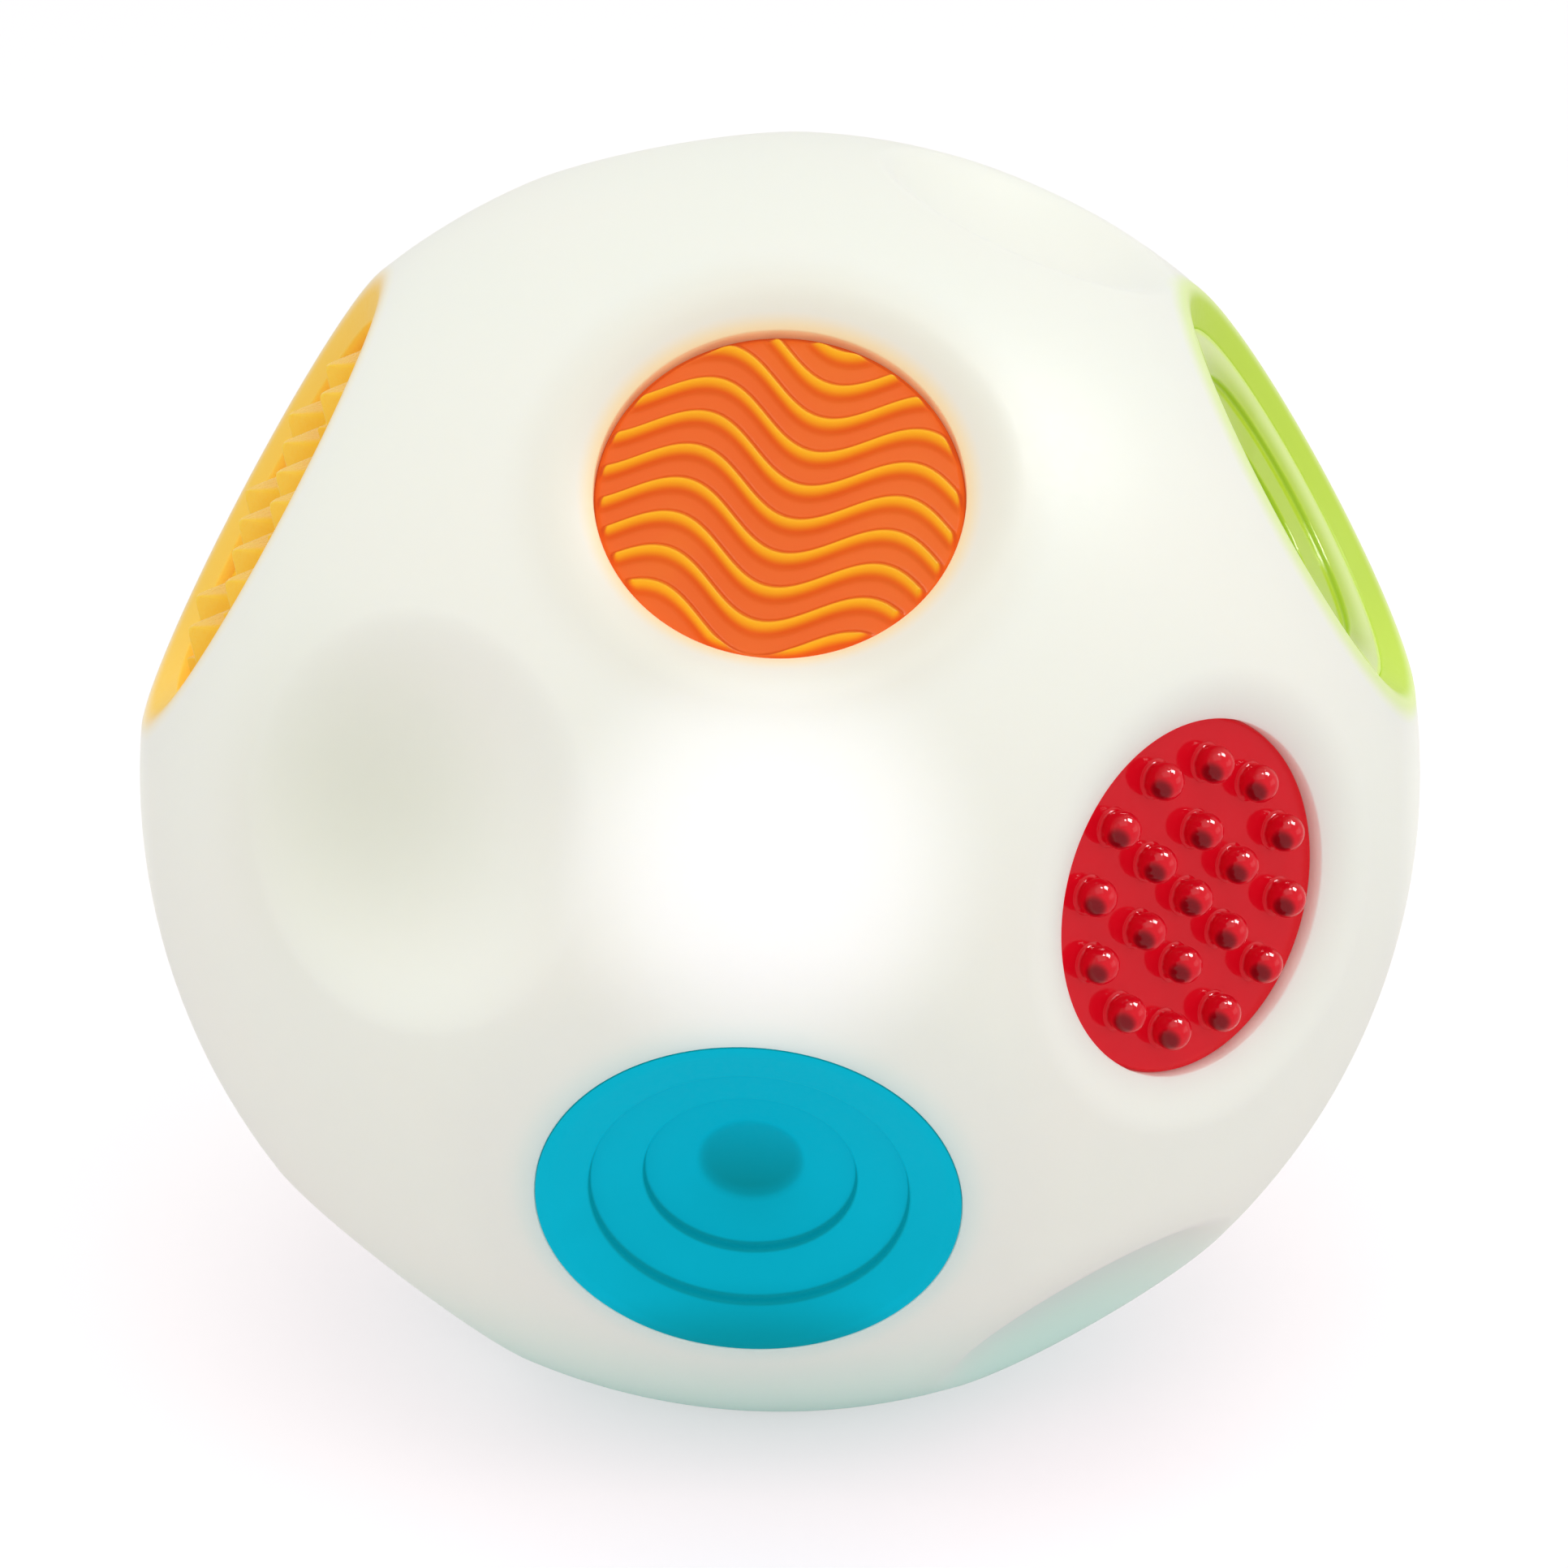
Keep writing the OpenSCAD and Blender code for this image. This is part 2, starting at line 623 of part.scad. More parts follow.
// Slotted pan-head screw, head down, its thread rising from zero
module screw(thread_len) {
    cylinder(r = screw_r, h = thread_len, $fn = small_fn);
    translate([0, 0, -screw_head_h]) difference() {
        cylinder(r = screw_head_r, h = screw_head_h, $fn = round_fn);
        translate([-screw_head_r, -drive_w / 2, -over])
            cube([2 * screw_head_r, drive_w, over + drive_d]);
        translate([-drive_w / 2, -screw_head_r, -over])
            cube([drive_w, 2 * screw_head_r, over + drive_d]);
    }
}

module housing_screws() {
    color("silver")
    around(screw_angles, boss_ring_r)
        translate([0, 0, door_recess + screw_head_h]) screw(housing_screw_len);
}

module battery_door() {
    sink_h = door_recess + door_t - screw_head_h / 2;
    color([0.93, 0.93, 0.91])
    difference() {
        translate([0, 0, door_recess]) linear_extrude(height = door_t) door_plan(0);
        around(ear_angles, ear_ring_r) {
            translate([0, 0, -over]) cylinder(r = screw_r + screw_fit, h = door_t + 2 * over, $fn = round_fn);
            translate([0, 0, -over])
                cylinder(r = screw_head_r + screw_fit, h = over + sink_h, $fn = round_fn);
        }
    }
}

module door_seal() {
    color([0.25, 0.25, 0.27])
    translate([0, 0, door_top_z]) difference() {
        cylinder(r = door_r, h = seal_t, $fn = fine);
        translate([0, 0, -over]) cylinder(r = door_r - seal_w + disc_fit, h = seal_t + 2 * over, $fn = fine);
    }
}

// Captive screw in one ear of the door
module door_screw(angle) {
    color("silver")
    around([angle], ear_ring_r)
        translate([0, 0, door_recess + screw_head_h]) screw(door_screw_len - screw_head_h);
}

module door_screw_1() {
    door_screw(0);
}

module door_screw_2() {
    door_screw(180);
}

// One upright cell, numbered from nought
module cell(i) {
    rotate([0, 0, cell_angles[i]]) translate([cell_ring_r, 0, cell_z]) {
        cylinder(r = cell_r, h = cell_len - cell_nub_h, $fn = round_fn);
        translate([0, 0, cell_len - 2 * cell_nub_h])
            cylinder(r = cell_nub_r, h = 2 * cell_nub_h, $fn = small_fn);
    }
}

module battery_1() {
    color([0.3, 0.33, 0.38]) cell(0);
}

module battery_2() {
    color([0.3, 0.33, 0.38]) cell(1);
}

module battery_3() {
    color([0.3, 0.33, 0.38]) cell(2);
}

module door_contacts() {
    color([0.8, 0.78, 0.7])
    translate([0, 0, plate_z]) difference() {
        cylinder(r = hatch_r - 2 * door_fit, h = contact_t, $fn = fine);
        translate([0, 0, -over]) cylinder(r = cell_nub_r, h = contact_t + 2 * over, $fn = small_fn);
    }
}

module battery_springs() {
    foot_r = spring_foot_share * cell_r;
    top_r = spring_top_share * cell_r;
    color([0.8, 0.8, 0.82])
    around(cell_angles, cell_ring_r)
        translate([0, 0, spring_z]) difference() {
            cylinder(r1 = foot_r, r2 = top_r, h = spring_h, $fn = round_fn);
            translate([0, 0, -over])
                cylinder(r = spring_hole_share * cell_r, h = spring_h + 2 * over, $fn = small_fn);
        }
}

module top_contacts() {
    color([0.8, 0.78, 0.7])
    around(cell_angles, cell_ring_r)
        translate([0, 0, top_contact_z]) cylinder(r = cell_r - 2 * cell_fit, h = contact_t, $fn = round_fn);
}

module circuit_board() {
    color([0.1, 0.42, 0.25])
    translate([0, 0, board_z]) difference() {
        cylinder(r = board_r, h = board_t, $fn = fine);
        around(screw_angles, post_ring_r)
            translate([0, 0, -over])
                cylinder(r = screw_r + screw_fit, h = board_t + 2 * over, $fn = small_fn);
        for (x = [-1, 1] * 4 * wire_r)
            translate([x, 0, -over]) cylinder(r = wire_r + disc_fit, h = board_t + 2 * over, $fn = small_fn);
    }
}

module board_screws() {
    color("silver")
    around(screw_angles, post_ring_r)
        translate([0, 0, board_top_z]) mirror([0, 0, 1]) screw(board_screw_len);
}

// One round-topped lamp on the board at an angle
module lamp(angle) {
    rotate([0, 0, angle]) translate([lamp_ring_r, 0, board_top_z]) {
        cylinder(r = lamp_r + wire_r / 2, h = 2 * wire_r, $fn = round_fn);
        cylinder(r = lamp_r, h = lamp_h, $fn = round_fn);
        translate([0, 0, lamp_h]) intersection() {
            sphere(r = lamp_r, $fn = round_fn);
            translate([0, 0, -wire_r]) cylinder(r = 2 * lamp_r, h = 2 * lamp_r, $fn = small_fn);
        }
    }
}

module lamp_1() {
    color([0.95, 0.5, 0.45]) lamp(lamp_angles[0]);
}

module lamp_2() {
    color([0.5, 0.9, 0.5]) lamp(lamp_angles[1]);
}

module lamp_3() {
    color([0.5, 0.6, 0.95]) lamp(lamp_angles[2]);
}

module lamp_4() {
    color([0.95, 0.93, 0.8]) lamp(lamp_angles[3]);
}

module sound_chip() {
    dome_r = 2 * chip_r;
    color([0.1, 0.1, 0.1])
    translate([0, -lamp_ring_r / 2, board_top_z]) intersection() {
        translate([0, 0, board_t - dome_r]) sphere(r = dome_r, $fn = fine);
        cylinder(r = chip_r, h = dome_r, $fn = round_fn);
    }
}

module capacitor() {
    color([0.15, 0.15, 0.2])
    around([screw_angles[0]], capacitor_ring_r)
        translate([0, 0, board_top_z]) cylinder(r = lamp_r, h = lamp_h + lamp_r, $fn = round_fn);
}

module resistors() {
    size = [board_t, 2 * board_t, board_t / 2];
    color([0.75, 0.65, 0.5])
    for (i = [0 : 3]) {
        x = (resistor_gap_share * (i - 1.5) - resistor_shift_share) * board_r;
        translate([x, lamp_ring_r / 3, board_top_z]) cube(size);
    }
}

module sensor_can() {
    color([0.78, 0.78, 0.76])
    translate([sensor_x, 0, board_top_z]) difference() {
        cylinder(r = sensor_r, h = sensor_h, $fn = round_fn);
        translate([0, 0, sensor_wall])
            cylinder(r = sensor_r - sensor_wall, h = sensor_h - 2 * sensor_wall, $fn = round_fn);
    }
}

module sensor_ball() {
    color("gold")
    translate([sensor_x, 0, board_top_z + sensor_wall + sensor_ball_r + disc_fit])
        sphere(r = sensor_ball_r, $fn = round_fn);
}

module speaker_frame() {
    back_r = magnet_r + speaker_rim_w;
    color([0.55, 0.55, 0.57])
    difference() {
        union() {
            translate([0, 0, speaker_top_z - speaker_rim_t])
                cylinder(r = speaker_r, h = speaker_rim_t, $fn = fine);
            translate([0, 0, speaker_z])
                cylinder(r1 = back_r, r2 = speaker_r - speaker_rim_w / 2, h = speaker_depth, $fn = fine);
        }
        translate([0, 0, speaker_z + speaker_rim_t / 2])
            cylinder(r1 = magnet_r, r2 = cone_outer_r, h = speaker_depth, $fn = fine);
    }
}

module speaker_magnet() {
    color([0.2, 0.2, 0.22])
    translate([0, 0, speaker_z - magnet_t]) cylinder(r = magnet_r, h = magnet_t, $fn = fine);
}

module speaker_cone() {
    flare = (cone_outer_r - magnet_r) / speaker_depth;
    height = speaker_depth / 2;
    low_r = magnet_r + flare * (cone_z - speaker_z - speaker_rim_t / 2) - 2 * cone_travel;
    color([0.12, 0.12, 0.12])
    translate([0, 0, cone_z]) {
        difference() {
            cylinder(r1 = low_r, r2 = low_r + flare * height, h = height, $fn = fine);
            translate([0, 0, cone_t])
                cylinder(r1 = low_r - cone_t, r2 = low_r - cone_t + flare * height, h = height, $fn = fine);
        }
        intersection() {
            translate([0, 0, 2 * cone_t - magnet_r]) sphere(r = magnet_r, $fn = fine);
            cylinder(r = low_r - 2 * cone_t, h = magnet_r, $fn = round_fn);
        }
    }
}

module switch_case() {
    room = [switch_len - 2 * switch_wall, switch_w - 2 * switch_wall, switch_h - switch_wall];
    color([0.6, 0.6, 0.62])
    translate([0, -switch_ring_r, base_t]) difference() {
        translate([-switch_len / 2, -switch_w / 2, 0]) cube([switch_len, switch_w, switch_h]);
        translate([-room[0] / 2, -room[1] / 2, -over]) cube([room[0], room[1], room[2] + over]);
    }
}

module switch_knob() {
    nib_h = switch_h - switch_wall - 2 * knob_fit;
    color([0.15, 0.15, 0.17])
    translate([knob_start, -switch_ring_r, 0]) {
        difference() {
            translate([-knob_len / 2, -knob_w / 2, knob_recess])
                cube([knob_len, knob_w, base_t - knob_recess]);
            for (i = [-1 : 1])
                translate([i * knob_len / 4 - drive_w / 2, -knob_w, -over])
                    cube([drive_w, 2 * knob_w, over + knob_recess + drive_d / 2]);
        }
        translate([-nib_len / 2, -knob_w / 3, base_t - disc_fit])
            cube([nib_len, 2 * knob_w / 3, nib_h + disc_fit]);
    }
}

module battery_wires() {
    color("crimson")
    for (side = [-1, 1])
        wire(side * 4 * wire_r, 0, deck_z + disc_fit, board_top_z + wire_r);
}

module speaker_wires() {
    color("orange")
    around(speaker_wire_angles, magnet_r + speaker_rim_w / 2)
        wire(0, 0, board_top_z, speaker_z);
}

module switch_wires() {
    color("black")
    for (side = [-1, 1])
        wire(side * 3 * wire_r, wall_wire_y, base_t + switch_h, board_z);
}

ball_skin();
wave_disc();
nub_disc();
blue_disc();
green_disc();
pyramid_disc();
base_plate();
housing();
diffuser();
housing_screws();
battery_door();
door_seal();
door_screw_1();
door_screw_2();
battery_1();
battery_2();
battery_3();
door_contacts();
battery_springs();
top_contacts();
circuit_board();
board_screws();
lamp_1();
lamp_2();
lamp_3();
lamp_4();
sound_chip();
capacitor();
resistors();
sensor_can();
sensor_ball();
speaker_frame();
speaker_magnet();
speaker_cone();
switch_case();
switch_knob();
battery_wires();
speaker_wires();
switch_wires();
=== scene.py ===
"""Dresses the sensory ball: its milky skin, its five texture discs and the module inside it.

Sizes are millimetres in the ball's own frame, unless a docstring says metres. Blender's own numbers,
such as those of meshes and the scales of noises, are for metres.
"""

from __future__ import annotations

import logging
from dataclasses import dataclass, field
from enum import Enum
from typing import Optional, Sequence, Union

import bpy
import numpy as np
from mathutils import Matrix, Vector
from mathutils.geometry import delaunay_2d_cdt

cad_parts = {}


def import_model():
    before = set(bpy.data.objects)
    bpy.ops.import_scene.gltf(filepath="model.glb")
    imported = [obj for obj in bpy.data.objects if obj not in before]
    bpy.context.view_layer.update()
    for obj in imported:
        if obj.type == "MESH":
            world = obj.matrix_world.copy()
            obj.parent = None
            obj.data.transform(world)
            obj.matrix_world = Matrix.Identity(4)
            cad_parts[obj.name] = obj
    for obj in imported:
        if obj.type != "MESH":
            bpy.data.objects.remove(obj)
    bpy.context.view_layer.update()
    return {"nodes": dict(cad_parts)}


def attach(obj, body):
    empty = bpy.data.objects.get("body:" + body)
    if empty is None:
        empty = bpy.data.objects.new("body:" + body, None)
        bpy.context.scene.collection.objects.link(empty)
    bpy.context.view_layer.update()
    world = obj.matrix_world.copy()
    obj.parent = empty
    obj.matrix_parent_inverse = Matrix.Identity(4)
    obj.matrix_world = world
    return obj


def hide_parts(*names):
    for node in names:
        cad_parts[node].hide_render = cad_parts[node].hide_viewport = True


LOG = logging.getLogger("sensory_ball")
MM = 0.001
# Span in which nearly all values of cloud noise lie
NOISE_SPAN = (0.2, 0.8)
Array = np.ndarray
Colour = tuple[int, int, int]


def srgb(red: float, green: float, blue: float) -> tuple[float, float, float, float]:
    """Linear colour of a display colour.

    Formula: a straight line near black, and above it the power of 2.4 of the value, each taken as a
    share of the full one.

    Args:
        red: red from 0 to 255.
        green: green from 0 to 255.
        blue: blue from 0 to 255.

    Returns:
        The linear colour with an alpha of 1.
    """
    share = np.array([red, green, blue]) / 255.0
    linear = np.where(share <= 0.04045, share / 12.92, ((share + 0.055) / 1.055) ** 2.4)
    return float(linear[0]), float(linear[1]), float(linear[2]), 1.0


def soft_min(first: Array, second: Array, blend: float) -> Array:
    """Lower of two values, with a rounded crossing.

    Formula: the lower value less a quarter of the blend times the square of how far the two overlap
    within the blend.

    Args:
        first: first values.
        second: second values.
        blend: difference below which the two are blended.

    Returns:
        The blended values.
    """
    overlap = np.maximum(blend - np.abs(first - second), 0.0) / blend
    return np.minimum(first, second) - overlap**2 * blend / 4.0


def smooth_step(low: float, high: float, value: Array) -> Array:
    """Rises from 0 at low to 1 at high as three t squared less two t cubed.

    Args:
        low: value that gives 0.
        high: value that gives 1.
        value: the values.

    Returns:
        The smooth steps.
    """
    t = np.clip((value - low) / (high - low), 0.0, 1.0)
    return t * t * (3.0 - 2.0 * t)


def softened(corners: Sequence[Sequence[float]], cuts: Sequence[float], steps: int = 5) -> Array:
    """Profile with rounded corners.

    Formula: each inner corner becomes a parabola that starts its cut before the corner, ends its cut
    after it, and has the corner as its control point.

    Args:
        corners: points of the sharp profile, as radius and height.
        cuts: one cut for each inner corner.
        steps: steps along each parabola.

    Returns:
        The points of the rounded profile.
    """
    points = np.asarray(corners, float)
    runs = np.diff(points, axis=0)
    units = runs / np.linalg.norm(runs, axis=1, keepdims=True)
    cut = np.asarray(cuts, float)[:, None]
    start = points[1:-1] - cut * units[:-1]
    end = points[1:-1] + cut * units[1:]
    t = np.linspace(0.0, 1.0, steps + 1)[None, :, None]
    curve = (1 - t) ** 2 * start[:, None] + 2 * t * (1 - t) * points[1:-1][:, None] + t**2 * end[:, None]
    return np.vstack([points[:1], curve.reshape(-1, 2), points[-1:]])


def swept(radius: Array, height: Array) -> Array:
    """Points at even steps round an axis.

    Formula: the radius times the cosine and the sine of each step's angle, and the height.

    Args:
        radius: radii, whose last index is the step.
        height: heights, of the same shape or stretched to it.

    Returns:
        The points.
    """
    angle = np.arange(radius.shape[-1]) * 2 * np.pi / radius.shape[-1]
    height = np.broadcast_to(height, radius.shape)
    return np.stack([radius * np.cos(angle), radius * np.sin(angle), height], -1)


@dataclass(frozen=True)
class Facing:
    """Where a dish faces: azimuth from the front towards +X, then elevation, in degrees."""

    azimuth: float
    elevation: float

    def axes(self) -> Array:
        """The dish's own frame.

        Formula: outward follows the azimuth and the elevation, right is level, and up is square to
        both.

        Returns:
            Rows of right, up and outward, each of length 1.
        """
        az, el = np.radians((self.azimuth, self.elevation))
        outward = np.array([np.cos(el) * np.sin(az), -np.cos(el) * np.cos(az), np.sin(el)])
        right = np.array([np.cos(az), np.sin(az), 0.0])
        return np.array([right, np.cross(outward, right), outward])


@dataclass(frozen=True)
class BallSizes:
    """Sizes that the skin, the discs and the module share."""

    ball_r: float = 68.0
    skin_t: float = 2.6
    port_r: float = 24.5
    base_lift: float = 0.3
    base_t: float = 2.4
    lip_top: float = 4.8
    lip_r: float = 21.2
    disc_fit: float = 0.1
    flange_w: float = 1.2
    flange_t: float = 1.2
    disc_rounding: float = 0.35
    edge_cut: float = 0.1

    @property
    def centre_h(self) -> float:
        """Height of the ball's centre."""
        return float(np.sqrt(self.ball_r**2 - self.port_r**2)) + self.base_lift

    @property
    def centre(self) -> Array:
        """The ball's centre."""
        return np.array([0.0, 0.0, self.centre_h])

    def chord(self, mouth_r: float) -> float:
        """Distance from the ball's centre to the plane of a dish's mouth."""
        return float(np.sqrt(self.ball_r**2 - mouth_r**2))


BALL = BallSizes()
FOOT = Facing(0.0, -90.0)


class Surface:
    """Gathers points and faces as whole arrays and makes one mesh object of them."""

    def __init__(self) -> None:
        """Starts with nothing in it."""
        self.points: list[Array] = []
        self.faces: list[Array] = []
        self.count = 0

    def add_points(self, points: Array) -> int:
        """Adds points.

        Args:
            points: the points, in millimetres.

        Returns:
            The number of the first one.
        """
        start = self.count
        flat = np.asarray(points, float).reshape(-1, 3)
        self.points.append(flat)
        self.count += len(flat)
        return start

    def add_faces(self, faces: Array) -> None:
        """Adds faces that all have the same number of corners."""
        if len(faces):
            self.faces.append(np.asarray(faces, int))

    def lattice(self, rows: Array) -> None:
        """Joins rows of point numbers, each a closed ring, with four-sided faces.

        Formula: each face has two neighbours of one ring and the same two of the next.

        Args:
            rows: point numbers, one row for each ring.
        """
        upper, lower = rows[:-1], rows[1:]
        quads = np.stack([upper, np.roll(upper, -1, 1), np.roll(lower, -1, 1), lower], -1)
        self.add_faces(quads.reshape(-1, 4))

    def fan(self, ring: Array, pole: int, closing: bool = True) -> None:
        """Closes a ring of points with triangles to one point.

        Formula: each triangle has two neighbours of the ring and the pole.

        Args:
            ring: point numbers of the ring.
            pole: number of the point in the middle.
            closing: whether the pole follows the ring, and doesn't come before it.
        """
        ahead = np.roll(ring, -1)
        poles = np.full_like(ring, pole)
        self.add_faces(np.stack([ring, ahead, poles] if closing else [poles, ahead, ring], -1))

    def turned(self, profile: Array, segments: int, place: "Place", plan: Optional[Array] = None) -> None:
        """Adds a closed turned shape whose profile starts and ends on its axis.

        Formula: each profile point goes round the axis at its own radius and height.

        Args:
            profile: radius and height of each point, in order from the far pole.
            segments: steps round the axis.
            place: where the shape stands.
            plan: factor on the radius for each step round the axis, for a shape that isn't round.
        """
        inner = profile[1:-1]
        radius = inner[:, :1] * (np.ones(segments) if plan is None else plan)
        start = self.add_points(place.to_world(swept(radius, inner[:, 1:])))
        rows = start + np.arange(len(inner) * segments).reshape(len(inner), segments)
        ends = np.array([[0.0, 0.0, profile[0, 1]], [0.0, 0.0, profile[-1, 1]]])
        first = self.add_points(place.to_world(ends))
        self.lattice(rows)
        self.fan(rows[0], first, closing=False)
        self.fan(rows[-1], first + 1)

    def build(self, name: str) -> bpy.types.Object:
        """Makes the mesh object.

        Args:
            name: name of the piece.

        Returns:
            The object, at the origin and smooth shaded.
        """
        points = np.vstack(self.points) * MM
        mesh = bpy.data.meshes.new(name)
        faces = [face for group in self.faces for face in group.tolist()]
        mesh.from_pydata(points.tolist(), [], faces)
        mesh.validate()
        mesh.update()
        mesh.polygons.foreach_set("use_smooth", np.ones(len(mesh.polygons), bool))
        piece = bpy.data.objects.new(name, mesh)
        bpy.context.scene.collection.objects.link(piece)
        LOG.info("%s: %d points, %d faces", name, len(mesh.vertices), len(mesh.polygons))
        return piece


@dataclass(frozen=True)
class Place:
    """A spot on the ball: a dish's frame, a distance from the ball's centre and an offset in the dish."""

    facing: Facing
    distance: float = 0.0
    shift: tuple[float, float] = (0.0, 0.0)

    def to_world(self, local: Array) -> Array:
        """Turns points of the dish's own frame into points of the ball's frame."""
        moved = local + np.array([self.shift[0], self.shift[1], self.distance])
        return moved @ self.facing.axes() + BALL.centre

    def spot(self) -> Array:
        """The place itself, in millimetres."""
        return self.to_world(np.zeros(3))

    def looking_back(self) -> Matrix:
        """Seat of a camera or a lamp that looks from this place at the ball.

        Returns:
            Its matrix, in metres.
        """
        matrix = Matrix(self.facing.axes().T.tolist()).to_4x4()
        matrix.translation = Vector(self.spot() * MM)
        return matrix


class Graph:
    """Adds nodes to a node tree."""

    def __init__(self, tree: bpy.types.NodeTree) -> None:
        """Takes the tree."""
        self.tree = tree

    def put(self, socket: bpy.types.NodeSocket, value: object) -> None:
        """Links a socket to another, or sets its value.

        Args:
            socket: the input.
            value: another node's output, or the value.
        """
        if isinstance(value, bpy.types.NodeSocket):
            self.tree.links.new(value, socket)
        else:
            socket.default_value = value

    def add(self, kind: str, inputs: Optional[dict] = None, **settings: object) -> bpy.types.Node:
        """Adds a node.

        Args:
            kind: its type, without the word that all of them start with.
            inputs: numbers or sockets for its inputs, by number or by name.
            **settings: its settings.

        Returns:
            The node.
        """
        node = self.tree.nodes.new("ShaderNode" + kind)
        for key, value in settings.items():
            setattr(node, key, value)
        for key, value in (inputs or {}).items():
            self.put(node.inputs[key], value)
        return node

    def math(self, operation: str, *values: object, clamp: bool = False) -> bpy.types.NodeSocket:
        """Adds a Math node.

        Args:
            operation: what it does.
            *values: its inputs, as numbers or sockets.
            clamp: whether the result is kept between 0 and 1.

        Returns:
            Its output.
        """
        return self.add("Math", dict(enumerate(values)), operation=operation, use_clamp=clamp).outputs[0]

    def vector(self, operation: str, *values: object) -> bpy.types.NodeSocket:
        """Adds a Vector Math node; a dot product, length or distance gives a number, the rest a vector."""
        node = self.add("VectorMath", dict(enumerate(values)), operation=operation)
        return node.outputs[1 if operation in ("DOT_PRODUCT", "LENGTH", "DISTANCE") else 0]

    def span(self, value: object, low: float, high: float, start: float = 0.0, end: float = 1.0,
             smooth: bool = True) -> bpy.types.NodeSocket:
        """Maps a value from one span to another, held at the ends.

        Args:
            value: the socket to map.
            low: value that gives start.
            high: value that gives end.
            start: result at low.
            end: result at high.
            smooth: whether the rise is a smooth step.

        Returns:
            The mapped value.
        """
        inputs = dict(enumerate((value, low, high, start, end)))
        shape = "SMOOTHSTEP" if smooth else "LINEAR"
        return self.add("MapRange", inputs, interpolation_type=shape).outputs[0]

    def grainy(self, grain: object, level: float, spread: float) -> bpy.types.NodeSocket:
        """Value that goes up and down with a noise.

        Args:
            grain: the noise.
            level: the value in the middle.
            spread: share of the value that it goes either way.

        Returns:
            The varied value.
        """
        return self.span(grain, *NOISE_SPAN, level * (1 - spread), min(level * (1 + spread), 1.0))

    def mix(self, share: object, first: object, second: object) -> bpy.types.NodeSocket:
        """Mixes two colours."""
        return self.add("Mix", {0: share, 6: first, 7: second}, data_type="RGBA").outputs[2]


class MaterialGraph(Graph):
    """Builds one procedural material on Object coordinates."""

    def __init__(self, name: str) -> None:
        """Starts a material with its surface shader and its output.

        Args:
            name: the material's name.
        """
        self.material = bpy.data.materials.new(name)
        self.material.use_nodes = True
        super().__init__(self.material.node_tree)
        self.tree.nodes.clear()
        self.shader = self.add("BsdfPrincipled")
        self.add("OutputMaterial", {0: self.shader.outputs[0]})
        self.coords = self.add("TexCoord").outputs["Object"]

    def set(self, **values: object) -> None:
        """Sets or links inputs of the surface shader, by name with underscores for spaces."""
        for key, value in values.items():
            self.put(self.shader.inputs[key.replace("_", " ")], value)

    def along(self, direction: Array, spot: Array) -> bpy.types.NodeSocket:
        """Distance along a direction from a spot, in metres.

        Args:
            direction: the direction, of length 1.
            spot: the spot, in millimetres.

        Returns:
            The distance.
        """
        reach = self.vector("DOT_PRODUCT", self.coords, tuple(direction))
        return self.math("SUBTRACT", reach, float(spot @ direction) * MM)

    def noise(self, scale: float, detail: float = 3.0, stretch: Optional[Sequence[float]] = None
              ) -> bpy.types.NodeSocket:
        """Adds cloud noise.

        Args:
            scale: its scale, per metre.
            detail: how many octaves it has.
            stretch: factors on the three coordinates.

        Returns:
            The noise, about 0.5.
        """
        source = self.coords if stretch is None else self.vector("MULTIPLY", self.coords, tuple(stretch))
        return self.add("TexNoise", {"Vector": source, "Scale": scale, "Detail": detail}).outputs["Fac"]

    def bump(self, height: object, depth: float, strength: float = 1.0) -> None:
        """Roughens the surface.

        Args:
            height: the height, from 0 to 1.
            depth: how deep a height of 1 is, in metres.
            strength: share of the effect.
        """
        node = self.add("Bump", {"Strength": strength, "Distance": depth, "Height": height})
        self.put(self.shader.inputs["Normal"], node.outputs[0])

    def object_normal(self) -> bpy.types.NodeSocket:
        """The surface's own normal. The discs never turn, so it is in the ball's frame."""
        return self.add("NewGeometry").outputs["Normal"]


class Pattern(Enum):
    """How the colour of a plain finish varies, and how many octaves its grain has."""

    MOULDED = ("fine moulded grain", 3.0)
    BRUSHED = ("fine turning marks", 4.0)
    SLEEVED = ("bands along the height", 2.0)
    BOARD = ("traces under a lacquer", 2.0)


